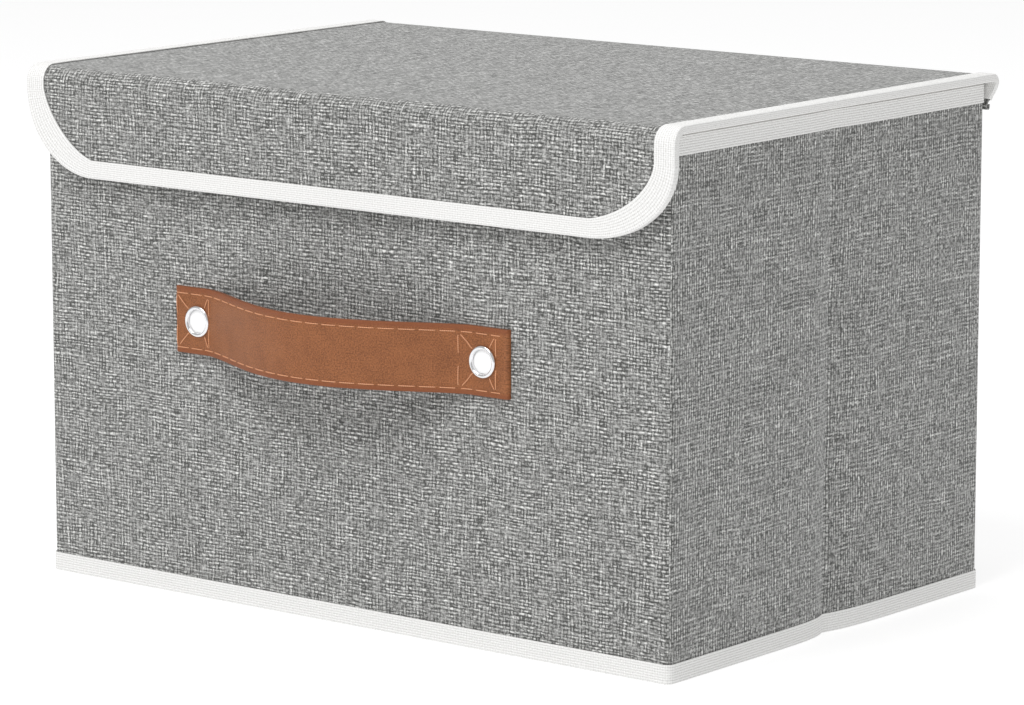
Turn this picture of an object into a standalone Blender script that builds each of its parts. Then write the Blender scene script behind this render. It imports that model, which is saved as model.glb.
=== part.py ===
"""A lidded cloth storage box whose walls fold flat, with a leather strap on its front.

Metres, +Z up. The front faces -Y. The origin is on the floor cloth's underside, at the
body's middle. Each wall is a cloth pocket round a board, closed by a tape over its top
and bottom edges. The side walls are halves, joined by a crease at mid depth, so that the
front can be pushed back against the back wall.
"""
from math import asin, cos, pi, sin, sqrt

import bmesh
import bpy
from mathutils import Matrix, Vector

# Body, measured over the wall cloth, and its height over the tapes
BODY_WIDTH = 0.3800
BODY_DEPTH = 0.2508
BODY_HEIGHT = 0.2482
BODY_CORNER_RADIUS = 0.0030

# Layers
CLOTH = 0.0006
WALL_BOARD = 0.0020
LID_BOARD = 0.0008
LINING = 0.0004
SEAT = 0.0003

# Edge tape, folded round an edge
TAPE = 0.0005
TAPE_FOLD_RADIUS = 0.0012
RIM_TAPE_WIDTH = 0.0100
BASE_TAPE_WIDTH = 0.0092
LID_TAPE_WIDTH = 0.0089

# Folds of the walls
FOLD_GAP = 0.00025
CREASE_GAP = 0.0003
CREASE_RADIUS = 0.0018
CREASE_BOARD_MARGIN = 0.0045
HALF_END_RADIUS = 0.0009

# Lid and its front flap
LID_OVERHANG = 0.0055
LID_BEND_RADIUS = 0.0075
LID_BOARD_MARGIN = 0.0020
FLAP_HEIGHT = 0.0532
FLAP_CORNER_RADIUS = 0.0420
BEND_CLEARANCE_SHARE = 0.8

# Cloth hinge behind the lid
HINGE_FOLD_GAP = 0.0012
HINGE_RADIUS = 0.0054
HINGE_SEAM_DROP = 0.0016
HINGE_SEAM_HEIGHT = 0.0014
HINGE_WAIST_RISE = 0.0010
HEM_RADIUS = 0.0010
HEM_TURN_UP = 0.0018

# Strap handle on the front
STRAP_LENGTH = 0.2042
STRAP_MIDDLE = -0.0020
STRAP_WIDTH = 0.0322
STRAP_HEIGHT = 0.1357
STRAP_LEATHER = 0.0012
STRAP_BACKING = 0.0010
STRAP_FIXED_END = 0.0221
STRAP_BOW = 0.0275
STRAP_BOW_POWER = 1.5
STRAP_END_RADIUS = 0.0006

# Eyelets and their washers
EYELET_INSET = 0.0146
EYELET_BORE_RADIUS = 0.0050
EYELET_WALL = 0.00035
EYELET_FLANGE_RADIUS = 0.0070
EYELET_FLANGE_HEIGHT = 0.0010
EYELET_LIP_RADIUS = 0.0066
EYELET_LIP = 0.0002
WASHER = 0.0004
WASHER_RADIUS = 0.0075
PLUG_RADIUS = 0.0046
PLUG_PROUD = 0.0006

# Ranges of the joints, in degrees; at the hinge's and the lid's the lid meets the ground
HINGE_TURN = 150.0
LID_OPENING = 89.0
FLAP_LIFT = 90.0
WALL_FOLD = 89.0

# Mesh fineness and the overrun of a cutter
ARC_STEPS = 4
FLAP_ARC_STEPS = 10
STRAP_STEPS = 32
ROUND_STEPS = 24
CUT_OVERRUN = 0.0010
MERGE_DISTANCE = 0.000005

# Worked out from the sizes above
TAPE_PROUD = SEAT + TAPE
WALL = CLOTH + SEAT + WALL_BOARD + SEAT + LINING
LID_STACK = CLOTH + SEAT + LID_BOARD + SEAT + LINING
LID_THICKNESS = LID_STACK + 2 * TAPE_PROUD
HINGE_STACK = CLOTH + SEAT + LINING
SHEET_BOTTOM = TAPE_PROUD
SHEET_TOP = BODY_HEIGHT - TAPE_PROUD
HALF_WIDTH = BODY_WIDTH / 2
HALF_DEPTH = BODY_DEPTH / 2
TAPE_INNER_X = HALF_WIDTH - WALL - TAPE_PROUD
TAPE_INNER_Y = HALF_DEPTH - WALL - TAPE_PROUD
CORNER_X = TAPE_INNER_X - FOLD_GAP
CORNER_Y = TAPE_INNER_Y - FOLD_GAP
CREASE_X = HALF_WIDTH + TAPE_PROUD + FOLD_GAP
LID_HALF_WIDTH = HALF_WIDTH + LID_OVERHANG
LID_TOP = BODY_HEIGHT + SEAT + TAPE_PROUD + LID_STACK
LID_TAPE_TOP = LID_TOP + TAPE_PROUD
FLAP_BOTTOM = LID_TAPE_TOP - FLAP_HEIGHT
BEND_CENTRE_Z = LID_TOP - LID_BEND_RADIUS
LID_REAR = HALF_DEPTH - CREASE_GAP
STRAP_HALF = STRAP_LENGTH / 2
EYELET_X = STRAP_HALF - EYELET_INSET
STRAP_STACK = SEAT + STRAP_BACKING + SEAT + STRAP_LEATHER


def flap_gap():
    """Gap from the front's tape to the flap, so that the bend's inner side clears the rim."""
    reach = LID_BEND_RADIUS - LID_STACK - TAPE_PROUD - TAPE_FOLD_RADIUS
    clearance = BEND_CLEARANCE_SHARE * SEAT
    return reach - sqrt((reach - clearance) ** 2 - (reach - SEAT) ** 2)


FLAP_FACE_Y = -(HALF_DEPTH + TAPE_PROUD + flap_gap() + TAPE_PROUD + LID_STACK)
BEND_CENTRE_Y = FLAP_FACE_Y + LID_BEND_RADIUS
CREASE_ANGLE = pi / 4
CREASE_HALF_ANGLE = asin(CREASE_GAP / 2 / (LID_BEND_RADIUS - LID_STACK - TAPE_PROUD))
FLAP_AXIS_RADIUS = LID_BEND_RADIUS + TAPE_PROUD + FOLD_GAP
HINGE_FACE_Y = HALF_DEPTH + TAPE_PROUD + SEAT + TAPE_PROUD + HINGE_STACK
HINGE_AXIS_Y = HINGE_FACE_Y + TAPE_PROUD
HINGE_AXIS_Z = BODY_HEIGHT - RIM_TAPE_WIDTH - HINGE_SEAM_DROP / 2
LID_AXIS_Y = HALF_DEPTH + TAPE_PROUD + LID_THICKNESS / 2 + HINGE_FOLD_GAP
LID_AXIS_Z = LID_TAPE_TOP - LID_THICKNESS / 2

# Where each body turns on the one that carries it
PIVOTS = {
    "back": Vector((0, 0, 0)),
    "right_rear": Vector((CORNER_X, CORNER_Y, 0)),
    "right_front": Vector((CREASE_X, 0, 0)),
    "front": Vector((CORNER_X, -CORNER_Y, 0)),
    "left_rear": Vector((-CORNER_X, CORNER_Y, 0)),
    "left_front": Vector((-CREASE_X, 0, 0)),
    "hinge": Vector((0, HINGE_AXIS_Y, HINGE_AXIS_Z)),
    "lid": Vector((0, LID_AXIS_Y, LID_AXIS_Z)),
    "flap": Vector((
        0,
        BEND_CENTRE_Y - FLAP_AXIS_RADIUS * sin(CREASE_ANGLE),
        BEND_CENTRE_Z + FLAP_AXIS_RADIUS * cos(CREASE_ANGLE),
    )),
}

# Material: linear colour, roughness, metallic
MATERIALS = {
    "grey_cloth": ((0.26, 0.26, 0.25), 0.95, 0.0),
    "white_tape": ((0.86, 0.86, 0.85), 0.85, 0.0),
    "board": ((0.80, 0.80, 0.78), 0.90, 0.0),
    "lining": ((0.42, 0.42, 0.41), 0.95, 0.0),
    "leather": ((0.38, 0.13, 0.04), 0.50, 0.0),
    "leather_backing": ((0.30, 0.11, 0.04), 0.75, 0.0),
    "steel": ((0.75, 0.75, 0.76), 0.20, 1.0),
}


def clear_scene():
    for obj in list(bpy.data.objects):
        bpy.data.objects.remove(obj, do_unlink=True)


def make_collection(name):
    collection = bpy.data.collections.new(name)
    bpy.context.scene.collection.children.link(collection)
    return collection


def make_material(name):
    colour, roughness, metallic = MATERIALS[name]
    material = bpy.data.materials.new(name)
    material.use_nodes = True
    shader = material.node_tree.nodes["Principled BSDF"]
    shader.inputs["Base Color"].default_value = (*colour, 1.0)
    shader.inputs["Roughness"].default_value = roughness
    shader.inputs["Metallic"].default_value = metallic
    material.diffuse_color = (*colour, 1.0)
    return material


def make_body(name, collection):
    """An empty on the body's joint, which carries the body's pieces."""
    empty = bpy.data.objects.new(f"body_{name}", None)
    empty.location = PIVOTS[name]
    empty.empty_display_size = RIM_TAPE_WIDTH
    collection.objects.link(empty)
    return empty


class Box:
    """The collections, materials and body empties that the pieces are added to."""

    def __init__(self):
        self.pieces = make_collection("fabric_storage_box")
        self.cutters = make_collection("cutters")
        self.materials = {name: make_material(name) for name in MATERIALS}
        self.bodies = {name: make_body(name, self.pieces) for name in PIVOTS}

    def add(self, name, mesh_data, body, material):
        """Turn a mesh made in world coordinates into a piece with its origin on its joint."""
        mesh = bpy.data.meshes.new(name)
        mesh_data.to_mesh(mesh)
        mesh_data.free()
        mesh.transform(Matrix.Translation(-PIVOTS[body]))
        mesh.materials.append(self.materials[material])
        piece = bpy.data.objects.new(name, mesh)
        piece.parent = self.bodies[body]
        self.pieces.objects.link(piece)
        return piece

    def add_cutter(self, name, mesh_data):
        mesh = bpy.data.meshes.new(name)
        mesh_data.to_mesh(mesh)
        mesh_data.free()
        cutter = bpy.data.objects.new(name, mesh)
        cutter.display_type = "WIRE"
        cutter.hide_render = True
        self.cutters.objects.link(cutter)
        return cutter


def cut(piece, cutter):
    modifier = piece.modifiers.new(cutter.name, "BOOLEAN")
    modifier.operation = "DIFFERENCE"
    modifier.solver = "EXACT"
    modifier.object = cutter


def join(piece, addition):
    modifier = piece.modifiers.new(addition.name, "BOOLEAN")
    modifier.operation = "UNION"
    modifier.solver = "EXACT"
    modifier.object = addition


def arc(centre, radius, start, end, steps):
    """Points on an arc in a plane, from one angle to another."""
    angles = (start + (end - start) * step / steps for step in range(steps + 1))
    return [(centre[0] + radius * cos(a), centre[1] + radius * sin(a)) for a in angles]


def path_normals(points, ends=(None, None)):
    """Mitred normals to the left of an open path, whose ends may have normals of their own."""
    sides = []
    for (x0, y0), (x1, y1) in zip(points, points[1:]):
        side = Vector((y0 - y1, x1 - x0))
        sides.append(side.normalized())
    normals = [ends[0] or sides[0]]
    for before, after in zip(sides, sides[1:]):
        middle = (before + after).normalized()
        normals.append(middle / middle.dot(before))
    normals.append(ends[1] or sides[-1])
    return normals


def offset_path(points, distance, ends=(None, None)):
    """The open path moved to the left of its direction of travel, with mitred corners."""
    moved = []
    for here, normal in zip(points, path_normals(points, ends)):
        moved.append((here[0] + normal[0] * distance, here[1] + normal[1] * distance))
    return moved


def band(points, near, far, ends=(None, None)):
    """Closed section of a sheet that lies between two offsets of a path."""
    return offset_path(points, near, ends) + offset_path(points, far, ends)[::-1]


def prism(outline, place, low, high):
    """Extrude a closed outline: place(a, b, c) gives the point for outline a, b and level c."""
    bm = bmesh.new()
    face = bm.faces.new([bm.verts.new(place(a, b, low)) for a, b in outline])
    grown = bmesh.ops.extrude_face_region(bm, geom=[face])["geom"]
    moved = [v for v in grown if isinstance(v, bmesh.types.BMVert)]
    along = Vector(place(0, 0, high)) - Vector(place(0, 0, low))
    bmesh.ops.translate(bm, vec=along, verts=moved)
    bmesh.ops.recalc_face_normals(bm, faces=bm.faces)
    return bm


def in_plan(x, y, z):
    """Place a point of an outline drawn in plan; the other two place those of other views."""
    return (x, y, z)


def in_side_view(y, z, x):
    return (x, y, z)


def in_front_view(x, z, y):
    return (x, y, z)


def tape_section(width, stack):
    """A tape folded round an edge: across from the fold, and out from the cloth's face."""
    top = TAPE_PROUD
    low = -stack - TAPE_PROUD
    radius = TAPE_FOLD_RADIUS
    outside = [(width, top)]
    outside += arc((radius, top - radius), radius, pi / 2, pi, ARC_STEPS)
    outside += arc((radius, low + radius), radius, pi, 3 * pi / 2, ARC_STEPS)
    outside += [(width, low)]
    return band(outside, 0, TAPE)


def sweep(section, stations):
    """Carry a closed section through stations, which are matrices from the section's plane."""
    bm = bmesh.new()
    first = bm.faces.new([bm.verts.new(stations[0] @ Vector((a, b, 0))) for a, b in section])
    face = first
    for here, there in zip(stations, stations[1:]):
        grown = bmesh.ops.extrude_face_region(bm, geom=[face])["geom"]
        if face.is_valid and face is not first:
            bmesh.ops.delete(bm, geom=[face], context="FACES_ONLY")
        face = next(f for f in grown if isinstance(f, bmesh.types.BMFace))
        bmesh.ops.transform(bm, matrix=there @ here.inverted(), verts=face.verts)
    bmesh.ops.recalc_face_normals(bm, faces=bm.faces)
    return bm


def station(point, across, out):
    """A section's plane: its first axis runs across the tape, its second out of the cloth."""
    along = across.cross(out).normalized()
    matrix = Matrix((across, out, along)).transposed().to_4x4()
    matrix.translation = point
    return matrix


def side_stations(path, ends, side):
    """Stations along the left or right edge of the lid, for a path in the side view."""
    across = Vector((-side, 0, 0))
    stations = []
    for (y, z), normal in zip(path, path_normals(path, ends)):
        out = Vector((0, -normal[0], -normal[1]))
        stations.append(station(Vector((side * LID_HALF_WIDTH, y, z)), across, out))
    return stations


class Wall:
    """One flat wall: where it runs, how its ends are rounded, and whether its tapes close them.

    Along is the distance along the wall, and out is the distance outwards from its lining.
    """

    def __init__(self, name, place, ends, radii, board_margins, closed_tapes):
        self.name = name
        self.place = place
        self.start, self.end = ends
        self.start_radius, self.end_radius = radii
        self.start_margin, self.end_margin = board_margins
        self.closed_tapes = closed_tapes

    def outer_path(self, grow):
        """The cloth's outer face, from the far end round to the near one, moved out by grow."""
        low, high = self.start - grow, self.end + grow
        inner, outer = -grow, WALL + grow
        near, far = self.start_radius + grow, self.end_radius + grow
        path = [(high, inner)]
        path += arc((high - far, outer - far), far, 0, pi / 2, ARC_STEPS)
        path += arc((low + near, outer - near), near, pi / 2, pi, ARC_STEPS)
        path += [(low, inner)]
        return path

    def cloth(self):
        return prism(band(self.outer_path(0), 0, CLOTH), self.place, SHEET_BOTTOM, SHEET_TOP)

    def board(self):
        low = self.start + self.start_margin
        high = self.end - self.end_margin
        inner = LINING + SEAT
        outline = [(low, inner), (high, inner), (high, inner + WALL_BOARD), (low, inner + WALL_BOARD)]
        return prism(outline, self.place, SHEET_BOTTOM, SHEET_TOP)

    def lining(self):
        low = self.start + CLOTH + SEAT
        high = self.end - CLOTH - SEAT
        outline = [(low, 0), (high, 0), (high, LINING), (low, LINING)]
        return prism(outline, self.place, SHEET_BOTTOM, SHEET_TOP)

    def folded_tape(self, fold, edge):
        """A tape folded over the wall's edge at one level, with ends cut square."""
        across = Vector((0, 0, 1 if edge > fold else -1))
        out = Vector(self.place(0, WALL, 0)) - Vector(self.place(0, 0, 0))
        points = (Vector(self.place(along, WALL, fold)) for along in (self.start, self.end))
        stations = [station(point, across, out.normalized()) for point in points]
        return sweep(tape_section(abs(edge - fold), WALL), stations)

    def tape_tray(self, fold, edge):
        """A tape folded over the wall's edge and carried round its two outer corners."""
        bm = prism(self.outer_path(TAPE_PROUD), self.place, fold, edge)
        closed = [v for v in bm.verts if abs(v.co.z - fold) < MERGE_DISTANCE]
        folded = [e for e in bm.edges if all(v in closed for v in e.verts)]
        open_faces = [f for f in bm.faces if all(v not in closed for v in f.verts)]
        bmesh.ops.delete(bm, geom=open_faces, context="FACES_ONLY")
        bmesh.ops.bevel(
            bm, geom=folded, offset=TAPE_FOLD_RADIUS, offset_type="OFFSET", segments=2,
            profile=0.5, affect="EDGES", clamp_overlap=True,
        )
        return bm


def solidify(piece, thickness):
    modifier = piece.modifiers.new("thickness", "SOLIDIFY")
    modifier.thickness = thickness
    modifier.offset = -1.0
    modifier.use_even_offset = True


def make_walls():
    def front(along, out, z):
        return (along, -(HALF_DEPTH - WALL + out), z)

    def back(along, out, z):
        return (along, HALF_DEPTH - WALL + out, z)

    def right(along, out, z):
        return (HALF_WIDTH - WALL + out, along, z)

    def left(along, out, z):
        return (-(HALF_WIDTH - WALL + out), along, z)

    across = (-HALF_WIDTH, HALF_WIDTH)
    corners = (BODY_CORNER_RADIUS, BODY_CORNER_RADIUS)
    rear = (CREASE_GAP / 2, CORNER_Y)
    fore = (-CORNER_Y, -CREASE_GAP / 2)
    end_margin = CLOTH + SEAT
    walls = [
        Wall("front", front, across, corners, corners, True),
        Wall("back", back, across, corners, corners, True),
    ]
    for side, place in (("right", right), ("left", left)):
        walls.append(Wall(
            f"{side}_rear", place, rear,
            (CREASE_RADIUS, HALF_END_RADIUS), (CREASE_BOARD_MARGIN, end_margin), False,
        ))
        walls.append(Wall(
            f"{side}_front", place, fore,
            (HALF_END_RADIUS, CREASE_RADIUS), (end_margin, CREASE_BOARD_MARGIN), False,
        ))
    return walls


def add_wall(box, wall):
    """Add the five pieces of one wall to the body of its name; its cloth and board come back."""
    cloth = box.add(f"{wall.name}_cloth", wall.cloth(), wall.name, "grey_cloth")
    board = box.add(f"{wall.name}_board", wall.board(), wall.name, "board")
    box.add(f"{wall.name}_lining", wall.lining(), wall.name, "lining")
    levels = {
        "rim": (BODY_HEIGHT, BODY_HEIGHT - RIM_TAPE_WIDTH),
        "base": (0, BASE_TAPE_WIDTH),
    }
    for edge, (fold, open_edge) in levels.items():
        name = f"{wall.name}_{edge}_tape"
        if wall.closed_tapes:
            tray = wall.tape_tray(fold, open_edge)
            solidify(box.add(name, tray, wall.name, "white_tape"), TAPE)
        else:
            box.add(name, wall.folded_tape(fold, open_edge), wall.name, "white_tape")
    return cloth, board


def add_floor(box):
    """Soft sewn floor, inside the base tapes and flush with their folds."""
    x = TAPE_INNER_X - SEAT
    y = TAPE_INNER_Y - SEAT
    outline = [(-x, -y), (x, -y), (x, y), (-x, y)]
    lining_low = CLOTH + SEAT
    box.add("floor_cloth", prism(outline, in_plan, 0, CLOTH), "back", "grey_cloth")
    lining = prism(outline, in_plan, lining_low, lining_low + LINING)
    box.add("floor_lining", lining, "back", "lining")


def bend_arc(start, end):
    """Points on the cloth's outer face round the bend, from the lid's top to the flap."""
    centre = (BEND_CENTRE_Y, BEND_CENTRE_Z)
    return arc(centre, LID_BEND_RADIUS, pi / 2 + start, pi / 2 + end, ARC_STEPS)


def bend_normal(angle):
    """The normal into the bend, at an angle round it from the lid's top."""
    return Vector((sin(angle), -cos(angle)))


def lid_path():
    """The lid cloth's outer face in the side view, from its rear end to the crease.

    It comes with its end normals, as the other paths here that end in a bend do.
    """
    crease = CREASE_ANGLE - CREASE_HALF_ANGLE
    return [(LID_REAR, LID_TOP)] + bend_arc(0, crease), (None, bend_normal(crease))


def flap_path():
    """The flap cloth's outer face in the side view, from the crease to its bottom."""
    crease = CREASE_ANGLE + CREASE_HALF_ANGLE
    bottom = (FLAP_FACE_Y, FLAP_BOTTOM + TAPE_PROUD)
    return bend_arc(crease, pi / 2) + [bottom], (bend_normal(crease), None)


def hinge_paths():
    """The hinge cloth's outer face in the side view, from its hem up to the lid.

    It goes down behind the rim's tape, in under it to the back cloth, and turns up in a hem.
    The second path stops above the seam, for the lining and the side tapes.
    """
    near = LID_REAR + CREASE_GAP
    bend_bottom = LID_TOP - HINGE_RADIUS
    rim_edge = BODY_HEIGHT - RIM_TAPE_WIDTH
    on_cloth = HALF_DEPTH + SEAT + CLOTH
    seam = (on_cloth, rim_edge - HINGE_SEAM_DROP)
    hem_low = seam[1] - HINGE_SEAM_HEIGHT
    hem_centre = (on_cloth + HEM_RADIUS, hem_low)
    waist = (HINGE_FACE_Y, rim_edge + HINGE_WAIST_RISE)
    step = ((waist[0] + seam[0]) / 2, rim_edge - SEAT)
    bend = arc((near, bend_bottom), HINGE_RADIUS, 0, pi / 2, ARC_STEPS)
    hem = [(on_cloth + 2 * HEM_RADIUS, hem_low + HEM_TURN_UP)]
    hem += arc(hem_centre, HEM_RADIUS, 0, -pi, ARC_STEPS)
    whole = hem + [seam, step, waist] + bend
    return whole, [waist] + bend, (None, bend_normal(0))


def side_prism(section, half_width):
    return prism(section, in_side_view, -half_width, half_width)


def add_lid(box):
    half = LID_HALF_WIDTH - TAPE_PROUD
    path, ends = lid_path()
    lining_near = LID_STACK - LINING
    cloth = side_prism(band(path, 0, CLOTH, ends), half)
    lining = side_prism(band(path, lining_near, LID_STACK, ends), half)
    board_low = LID_TOP - CLOTH - SEAT - LID_BOARD
    board_high = board_low + LID_BOARD
    board_front = BEND_CENTRE_Y
    board_rear = LID_REAR - LID_BOARD_MARGIN
    outline = [
        (board_front, board_low), (board_rear, board_low),
        (board_rear, board_high), (board_front, board_high),
    ]
    box.add("lid_cloth", cloth, "lid", "grey_cloth")
    box.add("lid_board", side_prism(outline, half), "lid", "board")
    box.add("lid_lining", lining, "lid", "lining")
    section = tape_section(LID_TAPE_WIDTH, LID_STACK)
    for name, side in (("right", 1), ("left", -1)):
        tape = sweep(section, side_stations(path, ends, side))
        box.add(f"lid_{name}_tape", tape, "lid", "white_tape")


def flap_corner_cutters(box):
    """The two bottom corners outside the flap's round outline."""
    centre_x = LID_HALF_WIDTH - FLAP_CORNER_RADIUS
    centre_z = FLAP_BOTTOM + FLAP_CORNER_RADIUS
    radius = FLAP_CORNER_RADIUS - TAPE_PROUD
    far_x = centre_x + radius + CUT_OVERRUN
    low_z = centre_z - radius - CUT_OVERRUN
    edge = arc((centre_x, centre_z), radius, 0, -pi / 2, FLAP_ARC_STEPS)
    outline = edge + [(centre_x, low_z), (far_x, low_z), (far_x, centre_z)]
    low_y = FLAP_FACE_Y - CUT_OVERRUN
    high_y = FLAP_FACE_Y + LID_STACK + CUT_OVERRUN
    cutters = []
    for name, side in (("right", 1), ("left", -1)):
        mirrored = [(side * x, z) for x, z in outline]
        solid = prism(mirrored, in_front_view, low_y, high_y)
        cutters.append(box.add_cutter(f"flap_{name}_corner", solid))
    return cutters


def flap_tape_stations():
    """Stations down one side of the flap, round its bottom, and up the other side."""
    centre_x = LID_HALF_WIDTH - FLAP_CORNER_RADIUS
    centre_z = FLAP_BOTTOM + FLAP_CORNER_RADIUS
    out = Vector((0, -1, 0))
    path, ends = flap_path()
    right = side_stations(path, ends, 1)[:-1]
    left = side_stations(path, ends, -1)[:-1]
    corners = []
    for side, angles in ((1, range(FLAP_ARC_STEPS + 1)), (-1, range(FLAP_ARC_STEPS, -1, -1))):
        for step in angles:
            angle = pi / 2 * step / FLAP_ARC_STEPS
            edge = Vector((side * cos(angle), 0, -sin(angle)))
            centre = Vector((side * centre_x, FLAP_FACE_Y, centre_z))
            corners.append(station(centre + edge * FLAP_CORNER_RADIUS, -edge, out))
    return right + corners + left[::-1]


def add_flap(box):
    half = LID_HALF_WIDTH - TAPE_PROUD
    path, ends = flap_path()
    board_out = FLAP_FACE_Y + CLOTH + SEAT
    board_low = FLAP_BOTTOM + TAPE_PROUD
    board = [
        (board_out, board_low), (board_out + LID_BOARD, board_low),
        (board_out + LID_BOARD, BEND_CENTRE_Z), (board_out, BEND_CENTRE_Z),
    ]
    sheets = {
        "flap_cloth": (band(path, 0, CLOTH, ends), "grey_cloth"),
        "flap_board": (board, "board"),
        "flap_lining": (band(path, LID_STACK - LINING, LID_STACK, ends), "lining"),
    }
    cutters = flap_corner_cutters(box)
    for name, (section, material) in sheets.items():
        sheet = box.add(name, side_prism(section, half), "flap", material)
        for cutter in cutters:
            cut(sheet, cutter)
    tape = sweep(tape_section(LID_TAPE_WIDTH, LID_STACK), flap_tape_stations())
    box.add("flap_tape", tape, "flap", "white_tape")


def add_hinge(box):
    """The lid's cloth goes on behind the back wall, where it is sewn on under the rim."""
    whole, taped, ends = hinge_paths()
    half = LID_HALF_WIDTH - TAPE_PROUD
    cloth = side_prism(band(whole, 0, CLOTH, ends), half)
    lining = side_prism(band(taped, HINGE_STACK - LINING, HINGE_STACK, ends), half)
    box.add("hinge_cloth", cloth, "hinge", "grey_cloth")
    box.add("hinge_lining", lining, "hinge", "lining")
    section = tape_section(LID_TAPE_WIDTH, HINGE_STACK)
    for name, side in (("right", 1), ("left", -1)):
        tape = sweep(section, side_stations(taped, ends, side))
        box.add(f"hinge_{name}_tape", tape, "hinge", "white_tape")


def strap_offset(x):
    """How far the strap stands off the front cloth at a distance from its middle."""
    free_half = STRAP_HALF - STRAP_FIXED_END
    share = min(abs(x) / free_half, 1.0)
    return SEAT + STRAP_BOW * (1.0 - share * share) ** STRAP_BOW_POWER


def strap_path():
    """The strap's inner face in plan, from its right end to its left."""
    free_half = STRAP_HALF - STRAP_FIXED_END
    inner_end = STRAP_HALF - STRAP_LEATHER - SEAT
    xs = [free_half * cos(pi * step / STRAP_STEPS) for step in range(STRAP_STEPS + 1)]
    places = [inner_end, *xs, -inner_end]
    return [(STRAP_MIDDLE + x, -HALF_DEPTH - strap_offset(x)) for x in places]


def leather_path(inner):
    """The leather's inner face: over the backing, and turned in round its two ends."""
    over = offset_path(inner, STRAP_BACKING + SEAT)
    wall = -HALF_DEPTH - SEAT
    top = over[0][1]
    radius = STRAP_END_RADIUS
    end = STRAP_HALF - STRAP_LEATHER
    right_end = STRAP_MIDDLE + end
    left_end = STRAP_MIDDLE - end
    right = arc((right_end - radius, top + radius), radius, 0, -pi / 2, ARC_STEPS)
    left = arc((left_end + radius, top + radius), radius, -pi / 2, -pi, ARC_STEPS)
    return [(right_end, wall)] + right + over[1:-1] + left + [(left_end, wall)]


def add_handle(box, front_cloth, front_board):
    inner = strap_path()
    low = STRAP_HEIGHT - STRAP_WIDTH / 2
    high = STRAP_HEIGHT + STRAP_WIDTH / 2
    backing = prism(band(inner, 0, STRAP_BACKING), in_plan, low, high)
    leather = prism(band(leather_path(inner), 0, STRAP_LEATHER), in_plan, low, high)
    pierced = [
        box.add("strap_backing", backing, "front", "leather_backing"),
        box.add("strap_leather", leather, "front", "leather"),
        front_cloth,
    ]
    hole_radius = EYELET_BORE_RADIUS + EYELET_WALL + SEAT
    pocket_radius = WASHER_RADIUS + SEAT
    board_face = -HALF_DEPTH + CLOTH + SEAT
    pocket_floor = board_face + WASHER + SEAT + EYELET_LIP + SEAT
    outside = -HALF_DEPTH - STRAP_STACK - CUT_OVERRUN
    inside = -HALF_DEPTH + CLOTH + CUT_OVERRUN
    for name, side in (("right", 1), ("left", -1)):
        centre = Vector((STRAP_MIDDLE + side * EYELET_X, 0, STRAP_HEIGHT))
        hole = box.add_cutter(f"{name}_hole", rod(centre, hole_radius, outside, inside))
        for piece in pierced:
            cut(piece, hole)
        pocket = rod(centre, pocket_radius, board_face - CUT_OVERRUN, pocket_floor)
        cut(front_board, box.add_cutter(f"{name}_pocket", pocket))
        plug = rod(centre, PLUG_RADIUS, -HALF_DEPTH - PLUG_PROUD, pocket_floor + SEAT)
        join(front_board, box.add_cutter(f"{name}_plug", plug))
        add_turned(box, f"{name}_eyelet", eyelet_profile(), centre)
        add_turned(box, f"{name}_washer", washer_profile(hole_radius), centre)


def rod(centre, radius, low_y, high_y):
    """A cylinder along Y."""
    bm = bmesh.new()
    place = Matrix.Translation((centre.x, (low_y + high_y) / 2, centre.z))
    bmesh.ops.create_cone(
        bm, cap_ends=True, segments=ROUND_STEPS, radius1=radius, radius2=radius,
        depth=high_y - low_y, matrix=place @ Matrix.Rotation(pi / 2, 4, "X"),
    )
    return bm


def eyelet_profile():
    """Half section of the eyelet: its distance from the axis, and out from the cloth's face.

    It has a domed flange on the leather, a barrel, and a lip clinched behind the washer.
    """
    bore = EYELET_BORE_RADIUS
    barrel = bore + EYELET_WALL
    seat = STRAP_STACK + SEAT
    lip_top = -CLOTH - SEAT - WASHER - SEAT
    crown = (EYELET_FLANGE_RADIUS + bore) / 2
    reach = EYELET_FLANGE_RADIUS - crown
    dome = [
        (crown + reach * cos(a), seat + EYELET_FLANGE_HEIGHT * sin(a))
        for a in (pi * step / (2 * ARC_STEPS) for step in range(2 * ARC_STEPS, -1, -1))
    ]
    under = [(barrel, seat), (barrel, lip_top), (EYELET_LIP_RADIUS, lip_top)]
    behind = [(EYELET_LIP_RADIUS, lip_top - EYELET_LIP), (bore, lip_top - EYELET_LIP)]
    return dome + under + behind


def washer_profile(hole_radius):
    top = -CLOTH - SEAT
    low = top - WASHER
    return [(WASHER_RADIUS, top), (WASHER_RADIUS, low), (hole_radius, low), (hole_radius, top)]


def add_turned(box, name, profile, centre):
    """Turn a closed profile about an axis that points out of the front."""
    bm = bmesh.new()
    ring = [bm.verts.new((radius, 0, level)) for radius, level in profile]
    for here, there in zip(ring, ring[1:] + ring[:1]):
        bm.edges.new((here, there))
    mesh = bpy.data.meshes.new(name)
    bm.to_mesh(mesh)
    bm.free()
    mesh.materials.append(box.materials["steel"])
    piece = bpy.data.objects.new(name, mesh)
    piece.parent = box.bodies["front"]
    piece.location = Vector((centre.x, -HALF_DEPTH, centre.z)) - PIVOTS["front"]
    piece.rotation_euler = (pi / 2, 0, 0)
    box.pieces.objects.link(piece)
    screw = piece.modifiers.new("turn", "SCREW")
    screw.steps = screw.render_steps = ROUND_STEPS
    screw.use_merge_vertices = True
    screw.merge_threshold = MERGE_DISTANCE


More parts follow.
